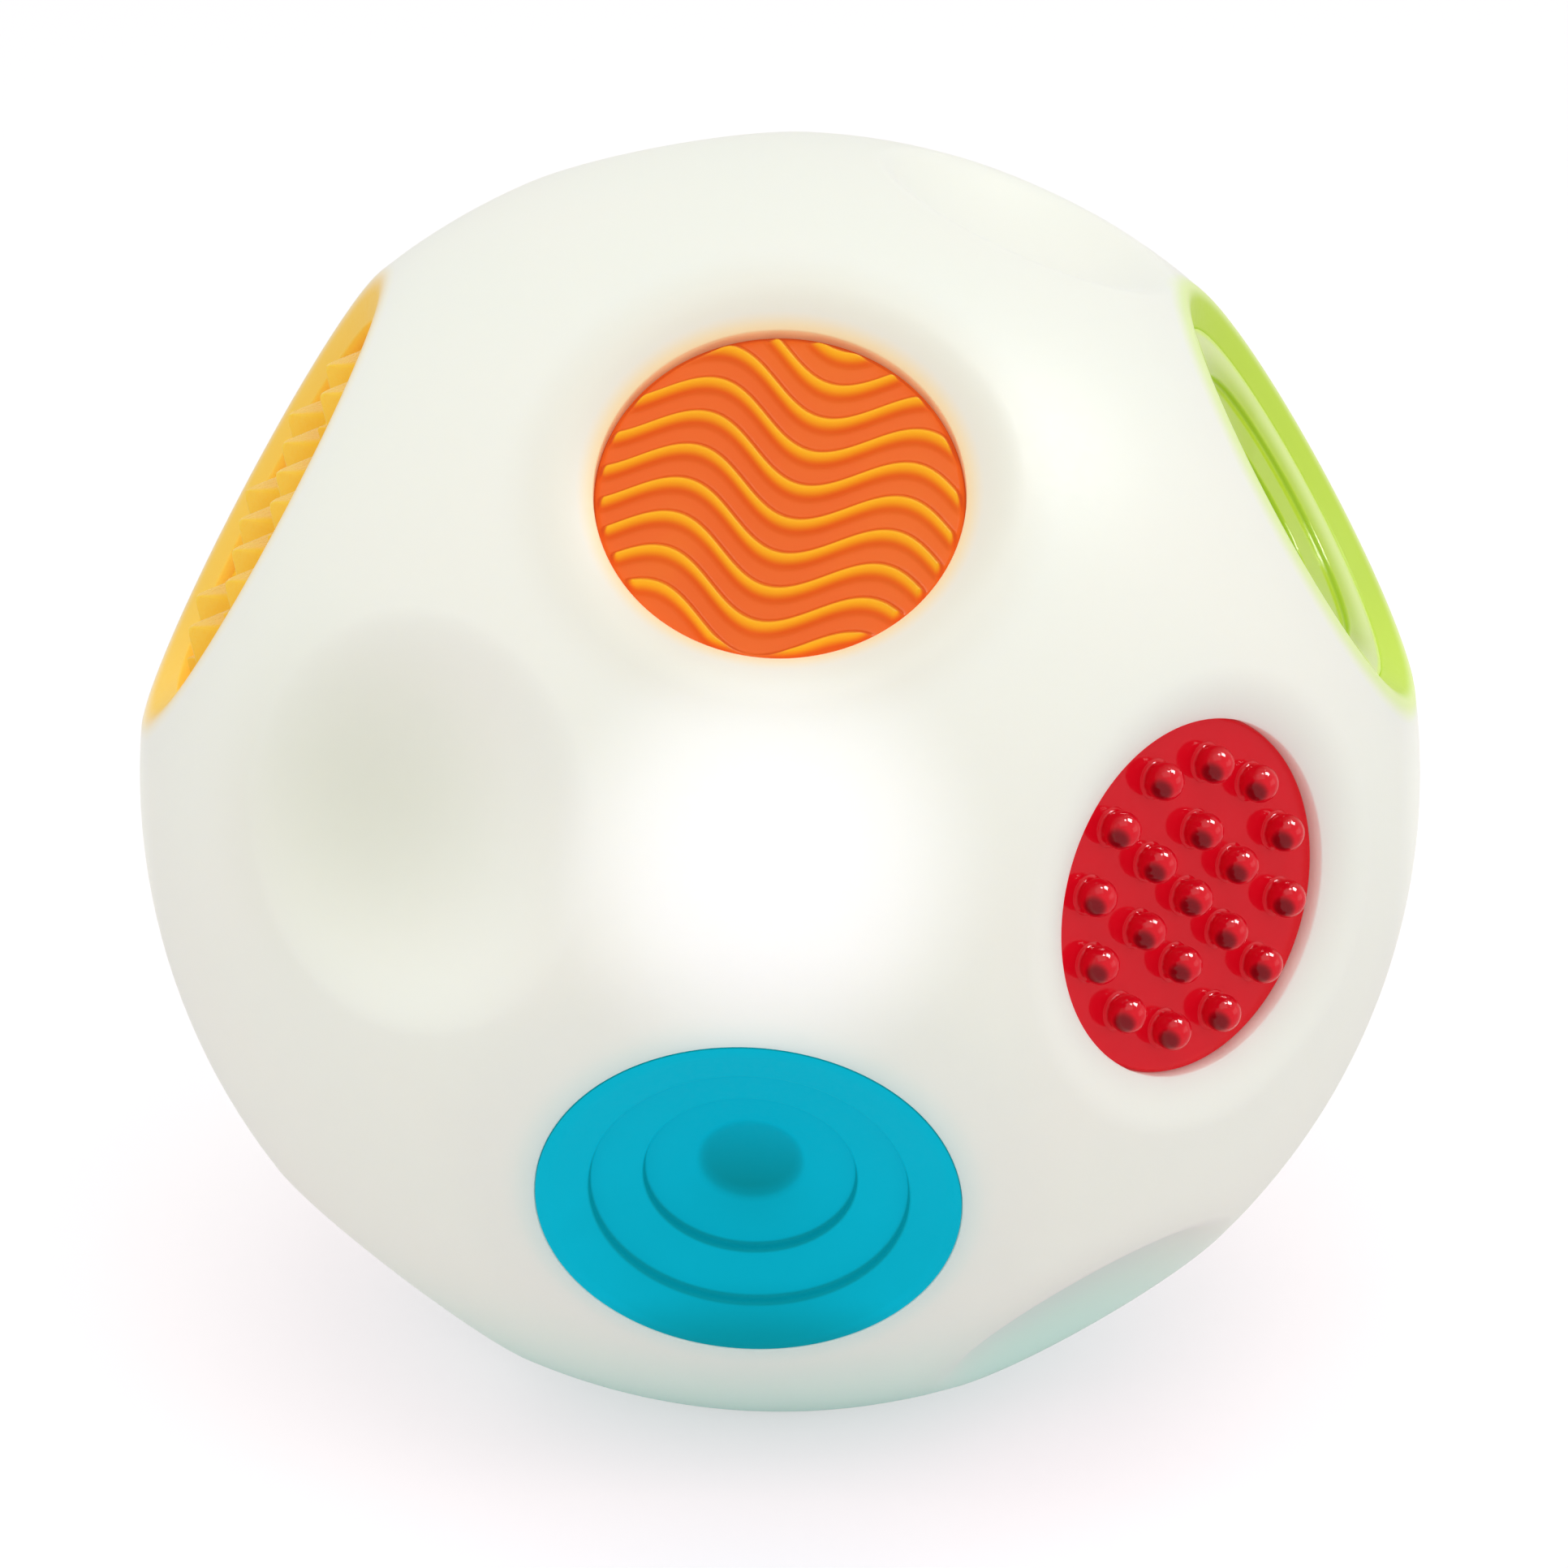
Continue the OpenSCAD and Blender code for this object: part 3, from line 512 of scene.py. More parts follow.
@dataclass(frozen=True)
class Finish:
    """A plain procedural finish for a piece of the module.

    It has a fine grain of some depth and a second colour in clouds, bands or traces.
    """

    name: str
    colour: Colour
    second: Colour
    roughness: float = 0.4
    metallic: float = 0.0
    coat: float = 0.0
    grain: float = 900.0
    depth: float = 0.04
    glow: float = 0.0
    pattern: Pattern = Pattern.MOULDED
    turning_stretch: float = 12.0
    sleeve_fold: float = 22.0
    sleeve_band: tuple[float, float] = (17.5, 18.0)
    trace_scale: float = 160.0
    trace_gap: float = 0.03

    def material(self) -> bpy.types.Material:
        """Builds the finish's material.

        Returns:
            The material.
        """
        graph = MaterialGraph(self.name)
        if self.pattern is Pattern.SLEEVED:
            height = graph.vector("DOT_PRODUCT", graph.coords, (0.0, 0.0, 1.0))
            folded = graph.math("PINGPONG", height, self.sleeve_fold * MM)
            cloud = graph.span(folded, self.sleeve_band[0] * MM, self.sleeve_band[1] * MM)
        elif self.pattern is Pattern.BOARD:
            traces = {"Vector": graph.coords, "Scale": self.trace_scale, "Mortar Size": self.trace_gap}
            cloud = graph.add("TexBrick", traces).outputs["Fac"]
        else:
            cloud = graph.noise(self.grain / 8, 2.0)
        stretch = (1.0, 1.0, self.turning_stretch) if self.pattern is Pattern.BRUSHED else None
        fine = graph.noise(self.grain, self.pattern.value[1], stretch)
        graph.set(Base_Color=graph.mix(cloud, srgb(*self.colour), srgb(*self.second)),
                  Roughness=graph.grainy(fine, self.roughness, 0.15),
                  Metallic=self.metallic, Coat_Weight=self.coat, Coat_Roughness=0.1)
        if self.glow:
            graph.set(Emission_Color=srgb(*self.colour), Emission_Strength=self.glow)
        graph.bump(fine, self.depth * MM, 0.5)
        return graph.material


@dataclass(frozen=True)
class RubberFinish:
    """The glossy see-through rubber of a texture disc, with a painted glow for the light from behind.

    The colour goes from valley to crest with the height over the disc's face, where a lighter crest is
    a painted highlight, and towards painted shade where the surface is steep. A lean moves that
    painted shade to the sides that face up. With a fall, the colour also goes towards painted shade
    between two distances down from the disc's middle, and between two more down the dimple in the
    middle. Round heads can get a painted dark spot low on their front, a painted reflection of the
    dim inside of the ball.
    """

    name: str
    valley: Colour
    crest: Colour
    shade: Colour
    place: Place
    low: float
    high: float
    steep: float = 0.8
    roughness: float = 0.25
    coat: float = 0.3
    # Strength of the painted glow, in the rubber's own colour
    glow: float = 0.12
    specular: float = 0.2
    lean: float = 0.0
    mottle: float = 0.06
    steep_span: tuple[float, float] = (0.95, 0.35)
    fall: Optional[tuple[float, float]] = None
    fall_share: float = 0.8
    dimple_fall: tuple[float, float] = (-5.0, 4.0)
    dimple_share: float = 0.85
    # Painted dark spot on round heads: its share, the direction it faces in the disc's frame, and its span
    painted_dark_share: float = 0.0
    painted_dark_toward: tuple[float, float, float] = (-0.82, -0.21, 0.54)
    painted_dark_span: tuple[float, float] = (0.72, 0.95)
    head_span: tuple[float, float] = (-0.6, -0.1)

    def material(self) -> bpy.types.Material:
        """Builds the rubber's material.

        Returns:
            The material.
        """
        graph = MaterialGraph(self.name)
        _, up, outward = self.place.facing.axes()
        height = graph.along(outward, self.place.spot())
        lift = graph.span(height, self.low * MM, self.high * MM)
        cloud = graph.span(graph.noise(60.0, 2.0), 0.3, 0.7, -self.mottle, self.mottle)
        lift = graph.math("ADD", lift, cloud, clamp=True)
        # Painted highlight: the colour gets lighter towards the crest
        colour = graph.mix(lift, srgb(*self.valley), srgb(*self.crest))
        # Painted shade where the surface is steep, moved by the lean to the sides that face up
        level = 1.0 / float(np.sqrt(1.0 + self.lean**2))
        slope = graph.vector("DOT_PRODUCT", graph.object_normal(), tuple(level * (outward - self.lean * up)))
        steepness = graph.span(slope, self.steep_span[0] * level, self.steep_span[1] * level)
        colour = graph.mix(graph.math("MULTIPLY", steepness, self.steep), colour, srgb(*self.shade))
        # Painted dark spot, a painted reflection of the ball's dim inside
        if self.painted_dark_share:
            colour = graph.mix(self.painted_dark_spot(graph, height), colour, srgb(*self.shade))
        # Painted shade low on the disc's edge and low in its dimple
        if self.fall:
            colour = graph.mix(self.fallen(graph, lift), colour, srgb(*self.shade))
        fine = graph.noise(1400.0, 3.0)
        # The emission is a painted glow in the same colour as the surface
        graph.set(Base_Color=colour, Roughness=graph.grainy(fine, self.roughness, 0.15),
                  Subsurface_Weight=0.15, Subsurface_Radius=(1.0, 0.6, 0.4), Subsurface_Scale=0.0015,
                  Coat_Weight=self.coat, Coat_Roughness=0.04, IOR=1.46, Specular_IOR_Level=self.specular,
                  Emission_Color=colour, Emission_Strength=self.glow)
        graph.bump(fine, 0.03 * MM, 0.4)
        return graph.material

    def fallen(self, graph: MaterialGraph, lift: bpy.types.NodeSocket) -> bpy.types.NodeSocket:
        """Shade low on the disc's edge and low in its dimple.

        Formula: the larger of a rise towards the disc's lower edge and a rise down the dimple.

        Args:
            graph: the material's graph.
            lift: 0 in the valley, which is the dimple, and 1 on the crest.

        Returns:
            The share of the shade colour.
        """
        depth = graph.along(-self.place.facing.axes()[1], self.place.spot())
        low, high = self.fall
        edge = graph.span(depth, low * MM, high * MM, 0.0, self.fall_share)
        low, high = self.dimple_fall
        under = graph.span(depth, low * MM, high * MM, 0.0, self.dimple_share, smooth=False)
        dimple = graph.math("MULTIPLY", graph.math("SUBTRACT", 1.0, lift), under)
        return graph.math("MAXIMUM", edge, dimple)

    def painted_dark_spot(self, graph: MaterialGraph, height: bpy.types.NodeSocket) -> bpy.types.NodeSocket:
        """Painted dark spot low on the front of each round head, a painted reflection of the ball's dim
        inside.

        Formula: how much the surface faces the spot's direction, times how far it is up the head.

        Args:
            graph: the material's graph.
            height: height over the disc's face.

        Returns:
            The share of the shade colour.
        """
        toward = np.array(self.painted_dark_toward) @ self.place.facing.axes()
        facing = graph.vector("DOT_PRODUCT", graph.object_normal(), tuple(toward / np.linalg.norm(toward)))
        raised = graph.span(height, self.head_span[0] * MM, self.head_span[1] * MM)
        return graph.math("MULTIPLY", graph.span(facing, *self.painted_dark_span, 0.0, self.painted_dark_share), raised)


@dataclass(frozen=True)
class PaintedLightShade:
    """A painted colour on the skin round a spot: painted light round a disc and over a lamp, painted shade in
    a dish.

    It is full within the inner radius and gone at the outer one.
    """

    place: Place
    colour: Colour
    inner: float
    outer: float
    share: float


@dataclass(frozen=True)
class MilkyFinish:
    """The milky skin: soft satin, a painted glow, brighter over a lamp behind it, painted light and shade."""

    name: str
    painted_lights_shades: tuple[PaintedLightShade, ...]
    # Directions in which the painted glow is brighter, where the lamps inside would shine through
    lamps: tuple[Facing, ...]
    # The skin gets darker and greener towards the bottom
    top: Colour = (240, 240, 231)
    bottom: Colour = (199, 240, 229)
    bottom_span: tuple[float, float] = (-0.97, -0.52)
    cloud_share: float = 0.05
    # Angle of each brighter painted glow spot, the painted glow all over, and the extra painted glow at each
    # spot
    spread: float = 20.0
    painted_base_glow: float = 0.2
    painted_lamp_glow: float = 0.13
    roughness: float = 0.42

    def material(self) -> bpy.types.Material:
        """Builds the skin's material.

        Returns:
            The material.
        """
        graph = MaterialGraph(self.name)
        unit = graph.vector("NORMALIZE", graph.vector("SUBTRACT", graph.coords, tuple(BALL.centre * MM)))
        # Darker and greener towards the bottom
        low = graph.span(graph.vector("DOT_PRODUCT", unit, (0.0, 0.0, 1.0)), *self.bottom_span)
        colour = graph.mix(low, srgb(*self.bottom), srgb(*self.top))
        cloud = graph.span(graph.noise(28.0, 2.0), 0.35, 0.65, 0.0, self.cloud_share)
        colour = graph.mix(cloud, colour, srgb(*self.bottom))
        # Painted light and painted shade round spots on the skin
        for light_shade in self.painted_lights_shades:
            distance = graph.vector("DISTANCE", graph.coords, tuple(light_shade.place.spot() * MM))
            near = graph.span(distance, light_shade.outer * MM, light_shade.inner * MM, 0.0, light_shade.share)
            colour = graph.mix(near, colour, srgb(*light_shade.colour))
        # Painted glow: a level all over, brighter towards each lamp direction
        glow: object = self.painted_base_glow
        edge = float(np.cos(np.radians(self.spread)))
        for lamp in self.lamps:
            near = graph.vector("DOT_PRODUCT", unit, tuple(lamp.axes()[2]))
            glow = graph.math("ADD", glow, graph.span(near, edge, 1.0, 0.0, self.painted_lamp_glow))
        fine = graph.noise(1100.0, 3.0)
        graph.set(Base_Color=colour, Roughness=graph.grainy(fine, self.roughness, 0.1),
                  Subsurface_Weight=0.5, Subsurface_Radius=(1.0, 0.95, 0.85), Subsurface_Scale=0.003,
                  IOR=1.45, Specular_IOR_Level=0.15, Emission_Color=colour, Emission_Strength=glow)
        graph.bump(fine, 0.02 * MM, 0.3)
        return graph.material


def dress(piece: bpy.types.Object, material: bpy.types.Material, slot: str, body: str, *nodes: str) -> None:
    """Gives a new piece its material and its body, and hides the nodes that it stands for.

    Args:
        piece: the piece.
        material: its material.
        slot: the record's material slot; not used.
        body: the body that it rides on.
        *nodes: the nodes that it replaces.
    """
    piece.data.materials.append(material)
    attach(piece, body)
    if nodes:
        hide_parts(*nodes)


@dataclass(frozen=True)
class Dish:
    """A round dish in the skin: its mouth, and what the skin does in it.

    The softness is how far apart the ball and the dish still blend, which rounds the rim. The search
    is the angle past the mouth in which the end of that rounding is looked for.
    """

    facing: Facing
    mouth_r: float
    softness: float = 2.4
    rim_search: float = 0.15

    def tool(self, angle: Array) -> Array:
        """Distance from the ball's centre to the dish, along rays at angles off its axis."""
        raise NotImplementedError

    def inner(self, angle: Array) -> Array:
        """The same for the inside of the skin."""
        raise NotImplementedError

    def floor_profile(self) -> Array:
        """Points below the dish's wall, down to the axis, as radius and height."""
        raise NotImplementedError

    def last_angle(self) -> float:
        """Angle off the axis where the wall of the dish ends."""
        raise NotImplementedError

    def off_axis(self, unit: Array) -> Array:
        """Angles of unit vectors off the dish's axis."""
        return np.arccos(np.clip(unit @ self.facing.axes()[2], -1, 1))

    def mouth_angle(self) -> float:
        """Angle off the axis of the dish's mouth."""
        return float(np.arcsin(self.mouth_r / BALL.ball_r))

    def rim_angle(self) -> float:
        """Angle off the axis where the rounding of the rim meets the ball.

        Formula: the first angle past the mouth at which the dish is outside the ball by the softness.

        Returns:
            The angle.
        """
        mouth = self.mouth_angle()
        angles = np.linspace(mouth, mouth + self.rim_search, 600)
        return float(angles[np.argmax(self.tool(angles) - BALL.ball_r >= self.softness)])

    def profile(self) -> Array:
        """Whole profile from the rim to the axis.

        Formula: along each ray from the ball's centre, the nearer of the ball and the dish, with
        their crossing rounded.

        Returns:
            Radius and height over the ball's centre of each point.
        """
        mouth, rim, last = self.mouth_angle(), self.rim_angle(), self.last_angle()
        turn = max(2 * mouth - rim, last + 0.25 * (mouth - last))
        angles = np.concatenate([np.linspace(rim, turn, 13)[:-1], np.linspace(turn, last, 9)])
        angles = angles[:-1] if last == 0 else angles
        reach = soft_min(np.full_like(angles, BALL.ball_r), self.tool(angles), self.softness)
        reach[0] = BALL.ball_r
        wall = np.stack([reach * np.sin(angles), reach * np.cos(angles)], -1)
        return np.vstack([wall, self.floor_profile()])


@dataclass(frozen=True)
class BareDish(Dish):
    """A dish for a finger or a thumb: the cap of a sphere."""

    depth: float = 4.6

    def cap(self) -> tuple[float, float]:
        """Radius of the cap's sphere, and its centre's distance from the ball's centre."""
        radius = (self.mouth_r**2 + self.depth**2) / (2 * self.depth)
        return radius, BALL.chord(self.mouth_r) + radius - self.depth

    def near_side(self, angle: Array, radius: float) -> Array:
        """Where rays from the ball's centre first meet a sphere about the cap's centre.

        Formula: how far along the ray the sphere's centre is, less the root of the radius squared
        less the square of how far the centre is off the ray.

        Args:
            angle: the rays' angles off the dish's axis.
            radius: the sphere's radius.

        Returns:
            The distances, far outside the ball for rays that miss.
        """
        far = self.cap()[1]
        inside = radius**2 - (far * np.sin(angle)) ** 2
        reach = far * np.cos(angle) - np.sqrt(np.maximum(inside, 0.0))
        return np.where((inside > 0) & (np.cos(angle) > 0), reach, 2 * BALL.ball_r)

    def tool(self, angle: Array) -> Array:
        """Distance from the ball's centre to the dish."""
        return self.near_side(angle, self.cap()[0])

    def inner(self, angle: Array) -> Array:
        """Distance to the inside of the skin behind the dish."""
        return self.near_side(angle, self.cap()[0] + BALL.skin_t)

    def last_angle(self) -> float:
        """The cap reaches the axis."""
        return 0.0

    def floor_profile(self) -> Array:
        """The cap's lowest point."""
        return np.array([[0.0, BALL.chord(self.mouth_r) - self.depth]])


@dataclass(frozen=True)
class DiscDish(Dish):
    """A dish with a sloping wall down to a texture disc, and the pocket that holds the disc.

    The brink is how far the pocket's wall goes down in its first step, which keeps its edge crisp. The
    blend is the angle over which the skin's inside comes back from behind the pocket.
    """

    disc_r: float = 18.2
    drop: float = 2.0
    disc_t: float = 3.2
    brink: float = 0.15
    blend: float = 0.06

    def room(self) -> float:
        """Radius of the pocket."""
        return self.disc_r + BALL.disc_fit

    def face(self) -> float:
        """Distance from the ball's centre to the disc's face."""
        return BALL.chord(self.mouth_r) - self.drop

    def tool(self, angle: Array) -> Array:
        """Distance from the ball's centre to the sloping wall."""
        slope = (self.mouth_r - self.room()) / max(self.drop, BALL.disc_fit)
        return (self.room() - slope * self.face()) / (np.sin(angle) - slope * np.cos(angle))

    def last_angle(self) -> float:
        """Angle of the disc's edge."""
        return float(np.arctan2(self.room(), self.face()))

    def inner(self, angle: Array) -> Array:
        """Distance to the inside of the skin behind the pocket.

        Formula: a plane behind the pocket, which rises out of the ball past the pocket's corner.

        Args:
            angle: the rays' angles off the dish's axis.

        Returns:
            The distances.
        """
        back = self.face() - self.disc_t - BALL.disc_fit - BALL.skin_t
        edge = max(self.mouth_r, self.room() + BALL.flange_w + BALL.skin_t)
        limit = float(np.arctan2(edge, back))
        flat = back / np.maximum(np.cos(angle), 0.2)
        rise = smooth_step(limit, limit + self.blend, angle)
        return flat + rise * BALL.ball_r

    def floor_profile(self) -> Array:
        """Pocket with its undercut for the disc's flange.

        Formula: straight down, out under the skin, down to the pocket's floor and in to the axis.

        Returns:
            Radius and height over the ball's centre of each point.
        """
        floor = self.face() - self.disc_t - BALL.disc_fit
        step = floor + BALL.flange_t + 2 * BALL.disc_fit
        wide = self.room() + BALL.flange_w
        return np.array([[self.room(), self.face() - self.brink], [self.room(), step], [wide, step],
                         [wide, floor], [wide / 2, floor], [0.0, floor]])


@dataclass
class SoftSkin:
    """The one-piece milky skin with its dishes and its port for the module."""

    dishes: tuple[Dish, ...]
    finish: MilkyFinish
    segments: int = 128
    ground_points: int = 15000
    margin: float = 1.5
    inner_rows: int = 90
    port_rim: float = 25.4

    def ring(self, place: Place, radius: float, height: float) -> Array:
        """Circle of points about a dish's axis."""
        return place.to_world(swept(np.full(self.segments, radius), np.array(height)))

    def ground(self) -> Array:
        """Even spread of points on the ball between the dishes.

        Formula: a spiral from pole to pole with a golden turn between points, less the points in the
        dishes and within a margin of their rims.

        Returns:
            The points.
        """
        order = np.arange(self.ground_points) + 0.5
        polar = np.arccos(1 - 2 * order / self.ground_points)
        turn = np.pi * (1 + np.sqrt(5.0)) * order
        unit = np.stack([np.sin(polar) * np.cos(turn), np.sin(polar) * np.sin(turn), np.cos(polar)], -1)
        keep = np.ones(len(unit), bool)
        for dish in self.dishes:
            keep &= dish.off_axis(unit) > dish.rim_angle() + self.margin / BALL.ball_r
        keep &= np.arccos(-unit[:, 2]) > np.arcsin(self.port_rim / BALL.ball_r) + self.margin / BALL.ball_r
        return unit[keep] * BALL.ball_r + BALL.centre

    def land(self, points: Array, circles: int) -> Array:
        """Triangles between the dishes' rims.

        Formula: the points are laid flat from the ball's foot, which keeps circles round, joined by
        an even triangulation, and the triangles with all corners on one rim are left out.

        Args:
            points: points on the ball, those of the rims first.
            circles: how many rims there are.

        Returns:
            The corners of each triangle.
        """
        unit = (points - BALL.centre) / BALL.ball_r
        flat = unit[:, :2] / (1 + unit[:, 2:3])
        found = delaunay_2d_cdt([Vector(spot) for spot in flat.tolist()], [], [], 0, 1e-9)
        given = np.array([source[0] for source in found[3]])
        corners = given[np.array(found[2])]
        owner = np.where(np.arange(len(points)) < circles * self.segments,
                         np.arange(len(points)) // self.segments, -1)[corners]
        same = (owner[:, 0] == owner[:, 1]) & (owner[:, 1] == owner[:, 2]) & (owner[:, 0] >= 0)
        corners = corners[~same]
        a, b, c = (points[corners[:, k]] for k in range(3))
        out = np.einsum("ij,ij->i", np.cross(b - a, c - a), a + b + c - 3 * BALL.centre) > 0
        return np.where(out[:, None], corners, corners[:, ::-1])

    def inside(self, unit: Array) -> Array:
        """Distance from the ball's centre to the inside of the skin.

        Formula: the nearest of the ball less the skin's thickness and the inside of every dish.

        Args:
            unit: directions, of length 1.

        Returns:
            The distances.
        """
        reach = np.full(unit.shape[:-1], BALL.ball_r - BALL.skin_t)
        for dish in self.dishes:
            reach = np.minimum(reach, dish.inner(dish.off_axis(unit)))
        return reach

    def port_profile(self) -> Array:
        """Profile of the port: its rim, the ledge for the base plate and the lip.

        Formula: straight runs with rounded corners.

        Returns:
            Radius and height over the ball's centre of each point, as seen with the foot up.
        """
        foot = BALL.chord(BALL.port_r)
        ledge, top = BALL.centre_h - BALL.base_t, BALL.centre_h - BALL.lip_top
        inner_r = float(np.sqrt((BALL.ball_r - BALL.skin_t) ** 2 - top**2))
        corners = [[self.port_rim, BALL.chord(self.port_rim)], [BALL.port_r, foot], [BALL.port_r, ledge],
                   [BALL.lip_r, ledge], [BALL.lip_r, top], [inner_r, top]]
        return softened(corners, [0.5, 0.3, 0.3, 0.3], 4)

    def build(self) -> bpy.types.Object:
        """Builds the skin as one closed mesh.

        Formula: triangles between the rims, a turned wall and floor in each dish, and through the
        port the turned inside, whose rings lie where each of their rays meets the inside of the skin.

        Returns:
            The finished piece.
        """
        surface = Surface()
        port = Place(FOOT)
        places = [Place(dish.facing) for dish in self.dishes] + [port]
        profiles = [dish.profile() for dish in self.dishes] + [self.port_profile()]
        rims = np.vstack([self.ring(place, *profile[0]) for place, profile in zip(places, profiles)])
        points = np.vstack([rims, self.ground()])
        surface.add_points(points)
        surface.add_faces(self.land(points, len(places)))
        for number, (place, profile) in enumerate(zip(places, profiles)):
            rows = [number * self.segments + np.arange(self.segments)]
            is_port = place is port
            for radius, height in profile[1:] if is_port else profile[1:-1]:
                start = surface.add_points(self.ring(place, radius, height))
                rows.append(start + np.arange(self.segments))
            if is_port:
                rows.extend(self.inner_rings(surface, profile[-1]))
                up = np.array([0.0, 0.0, 1.0])
                pole = surface.add_points(BALL.centre + self.inside(up) * up)
            else:
                pole = surface.add_points(place.to_world(np.array([0.0, 0.0, profile[-1][1]])))
            surface.lattice(np.array(rows))
            surface.fan(rows[-1], pole)
        return surface.build("milky_skin")

    def inner_rings(self, surface: Surface, start: Array) -> list[Array]:
        """Rings of the skin's inside, from the lip up to the top.

        Formula: rays at even angles from the foot and round it, each as long as the inside is far.

        Args:
            surface: the surface that takes the points.
            start: radius and height where the lip ends.

        Returns:
            The point numbers of each ring.
        """
        first = float(np.arctan2(start[0], start[1]))
        polar = np.linspace(first, np.pi, self.inner_rows + 2)[1:-1]
        radius = np.repeat(np.sin(polar)[:, None], self.segments, 1)
        unit = swept(radius, np.cos(polar)[:, None]) @ FOOT.axes()
        world = unit * self.inside(unit)[..., None] + BALL.centre
        begin = surface.add_points(world)
        return list(begin + np.arange(world[..., 0].size).reshape(len(polar), self.segments))

    def make(self) -> None:
        """Builds and dresses the skin."""
        dress(self.build(), self.finish.material(), "skin", "shell", "ball_skin")


def flange(radius: float, low: float) -> list[tuple[float, float]]:
    """Side and bottom of a disc with its hidden flange, as radius and height, back to the axis."""
    wide, top = radius + BALL.flange_w, low + BALL.flange_t
    return [(radius, top), (wide, top), (wide, low), (0.0, low)]


def add_blank(surface: Surface, place: Place, radius: float, thickness: float, sink: float,
              segments: int) -> Place:
    """Adds a plain disc with a rounded top edge, whose face lies below where the disc is placed.

    Formula: the disc's half section with rounded corners, turned round its axis.

    Args:
        surface: the surface that takes it.
        place: place of the whole disc's face.
        radius: its radius.
        thickness: thickness of the whole disc.
        sink: how far the plain disc's face lies below the place.
        segments: steps round it.

    Returns:
        Place of the plain disc's face.
    """
    rounding = BALL.disc_rounding
    corners = [(radius - 3 * rounding, 0.0), (radius, 0.0), *flange(radius, sink - thickness)]
    edge = softened(corners, [rounding] + [BALL.edge_cut] * 3, 4)
    floor = Place(place.facing, place.distance - sink)
    surface.turned(np.vstack([[[0.0, 0.0]], edge])[::-1], segments, floor)
    return floor


@dataclass(frozen=True)
class WaveDisc:
    """The orange disc with its wavy ribs.

    The sharpness is the power on the ribs' raised cosine. The end gap and the end fade say how far
    inside the disc's edge they end, and the edge drop and the edge blend round that edge.
    """

    place: Place
    radius: float
    thickness: float
    rib_h: float = 1.3
    half_width: float = 1.1
    pitch: float = 3.9
    length: float = 21.3
    swing: float = 2.7
    tilt: float = -16.0
    phase: float = -116.0
    sharpness: float = 0.75
    end_gap: float = 0.2
    end_fade: float = 0.8
    edge_drop: float = 0.25
    edge_blend: float = 0.5
    steps: int = 190

    def ribs(self, x: Array, y: Array) -> Array:
        """Height over the disc's floor.

        Formula: the distance across the nearest rib, measured along the rib's own swing direction
        from a sine line, goes through a raised cosine; the ribs fade out just inside the edge.

        Args:
            x: distance to the right of the disc's centre.
            y: distance up from it.

        Returns:
            The height of the ribs.
        """
        turn = np.radians(self.tilt)
        along = x * np.cos(turn) + y * np.sin(turn)
        across = y * np.cos(turn) - x * np.sin(turn)
        line = self.swing * np.sin(2 * np.pi * along / self.length + np.radians(self.phase))
        off = (across - line + self.pitch / 2) % self.pitch - self.pitch / 2
        share = np.clip(np.abs(off) / self.half_width, 0.0, 1.0)
        ridge = (0.5 * (1 + np.cos(np.pi * share))) ** self.sharpness
        inside = self.radius - self.end_gap - np.hypot(x, y)
        return self.rib_h * ridge * smooth_step(0.0, self.end_fade, inside)

    def make(self) -> None:
        """Builds and dresses the disc.

        Formula: a square grid is rounded into a disc, x as u times the root of 1 less half v
        squared and y likewise, and each point is raised by the ribs.
        """
        surface = Surface()
        side = np.linspace(-1.0, 1.0, self.steps)
        u, v = np.meshgrid(side, side, indexing="xy")
        x = self.radius * u * np.sqrt(1 - v**2 / 2)
        y = self.radius * v * np.sqrt(1 - u**2 / 2)
        edge = smooth_step(0.0, self.edge_blend, self.radius - np.hypot(x, y))
        z = self.ribs(x, y) - self.rib_h - self.edge_drop * (1 - edge)
        start = surface.add_points(self.place.to_world(np.stack([x, y, z], -1)))
        number = start + np.arange(self.steps**2).reshape(self.steps, self.steps)
        surface.add_faces(np.stack([number[:-1, :-1], number[:-1, 1:], number[1:, 1:], number[1:, :-1]],
                                   -1).reshape(-1, 4))
        loop = np.concatenate([number[0, :-1], number[:-1, -1], number[-1, :0:-1], number[:0:-1, 0]])
        spots = np.stack([x, y], -1).reshape(-1, 2)[loop - start]
        unit = spots / np.linalg.norm(spots, axis=1, keepdims=True)
        *rings, bottom = flange(self.radius, -self.thickness)
        rows = [loop]
        for radius, height in rings:
            ring = np.column_stack([unit * radius, np.full(len(unit), height)])
            rows.append(surface.add_points(self.place.to_world(ring)) + np.arange(len(unit)))
        surface.lattice(np.array(rows)[::-1])
        pole = surface.add_points(self.place.to_world(np.array([0.0, *bottom])))
        surface.fan(rows[-1], pole, closing=False)
        piece = surface.build("wave_disc_ribbed")
        # Painted highlight on the rib crests, painted shade on their upper sides, and a painted glow
        rubber = RubberFinish("orange_rubber", (230, 106, 40), (250, 176, 34), (200, 78, 28), self.place,
                              -1.05, -0.05, steep=0.65, roughness=0.34, coat=0.0, glow=0.24, specular=0.1,
                              lean=0.7)
        dress(piece, rubber.material(), "wave_orange", "shell", "wave_disc")


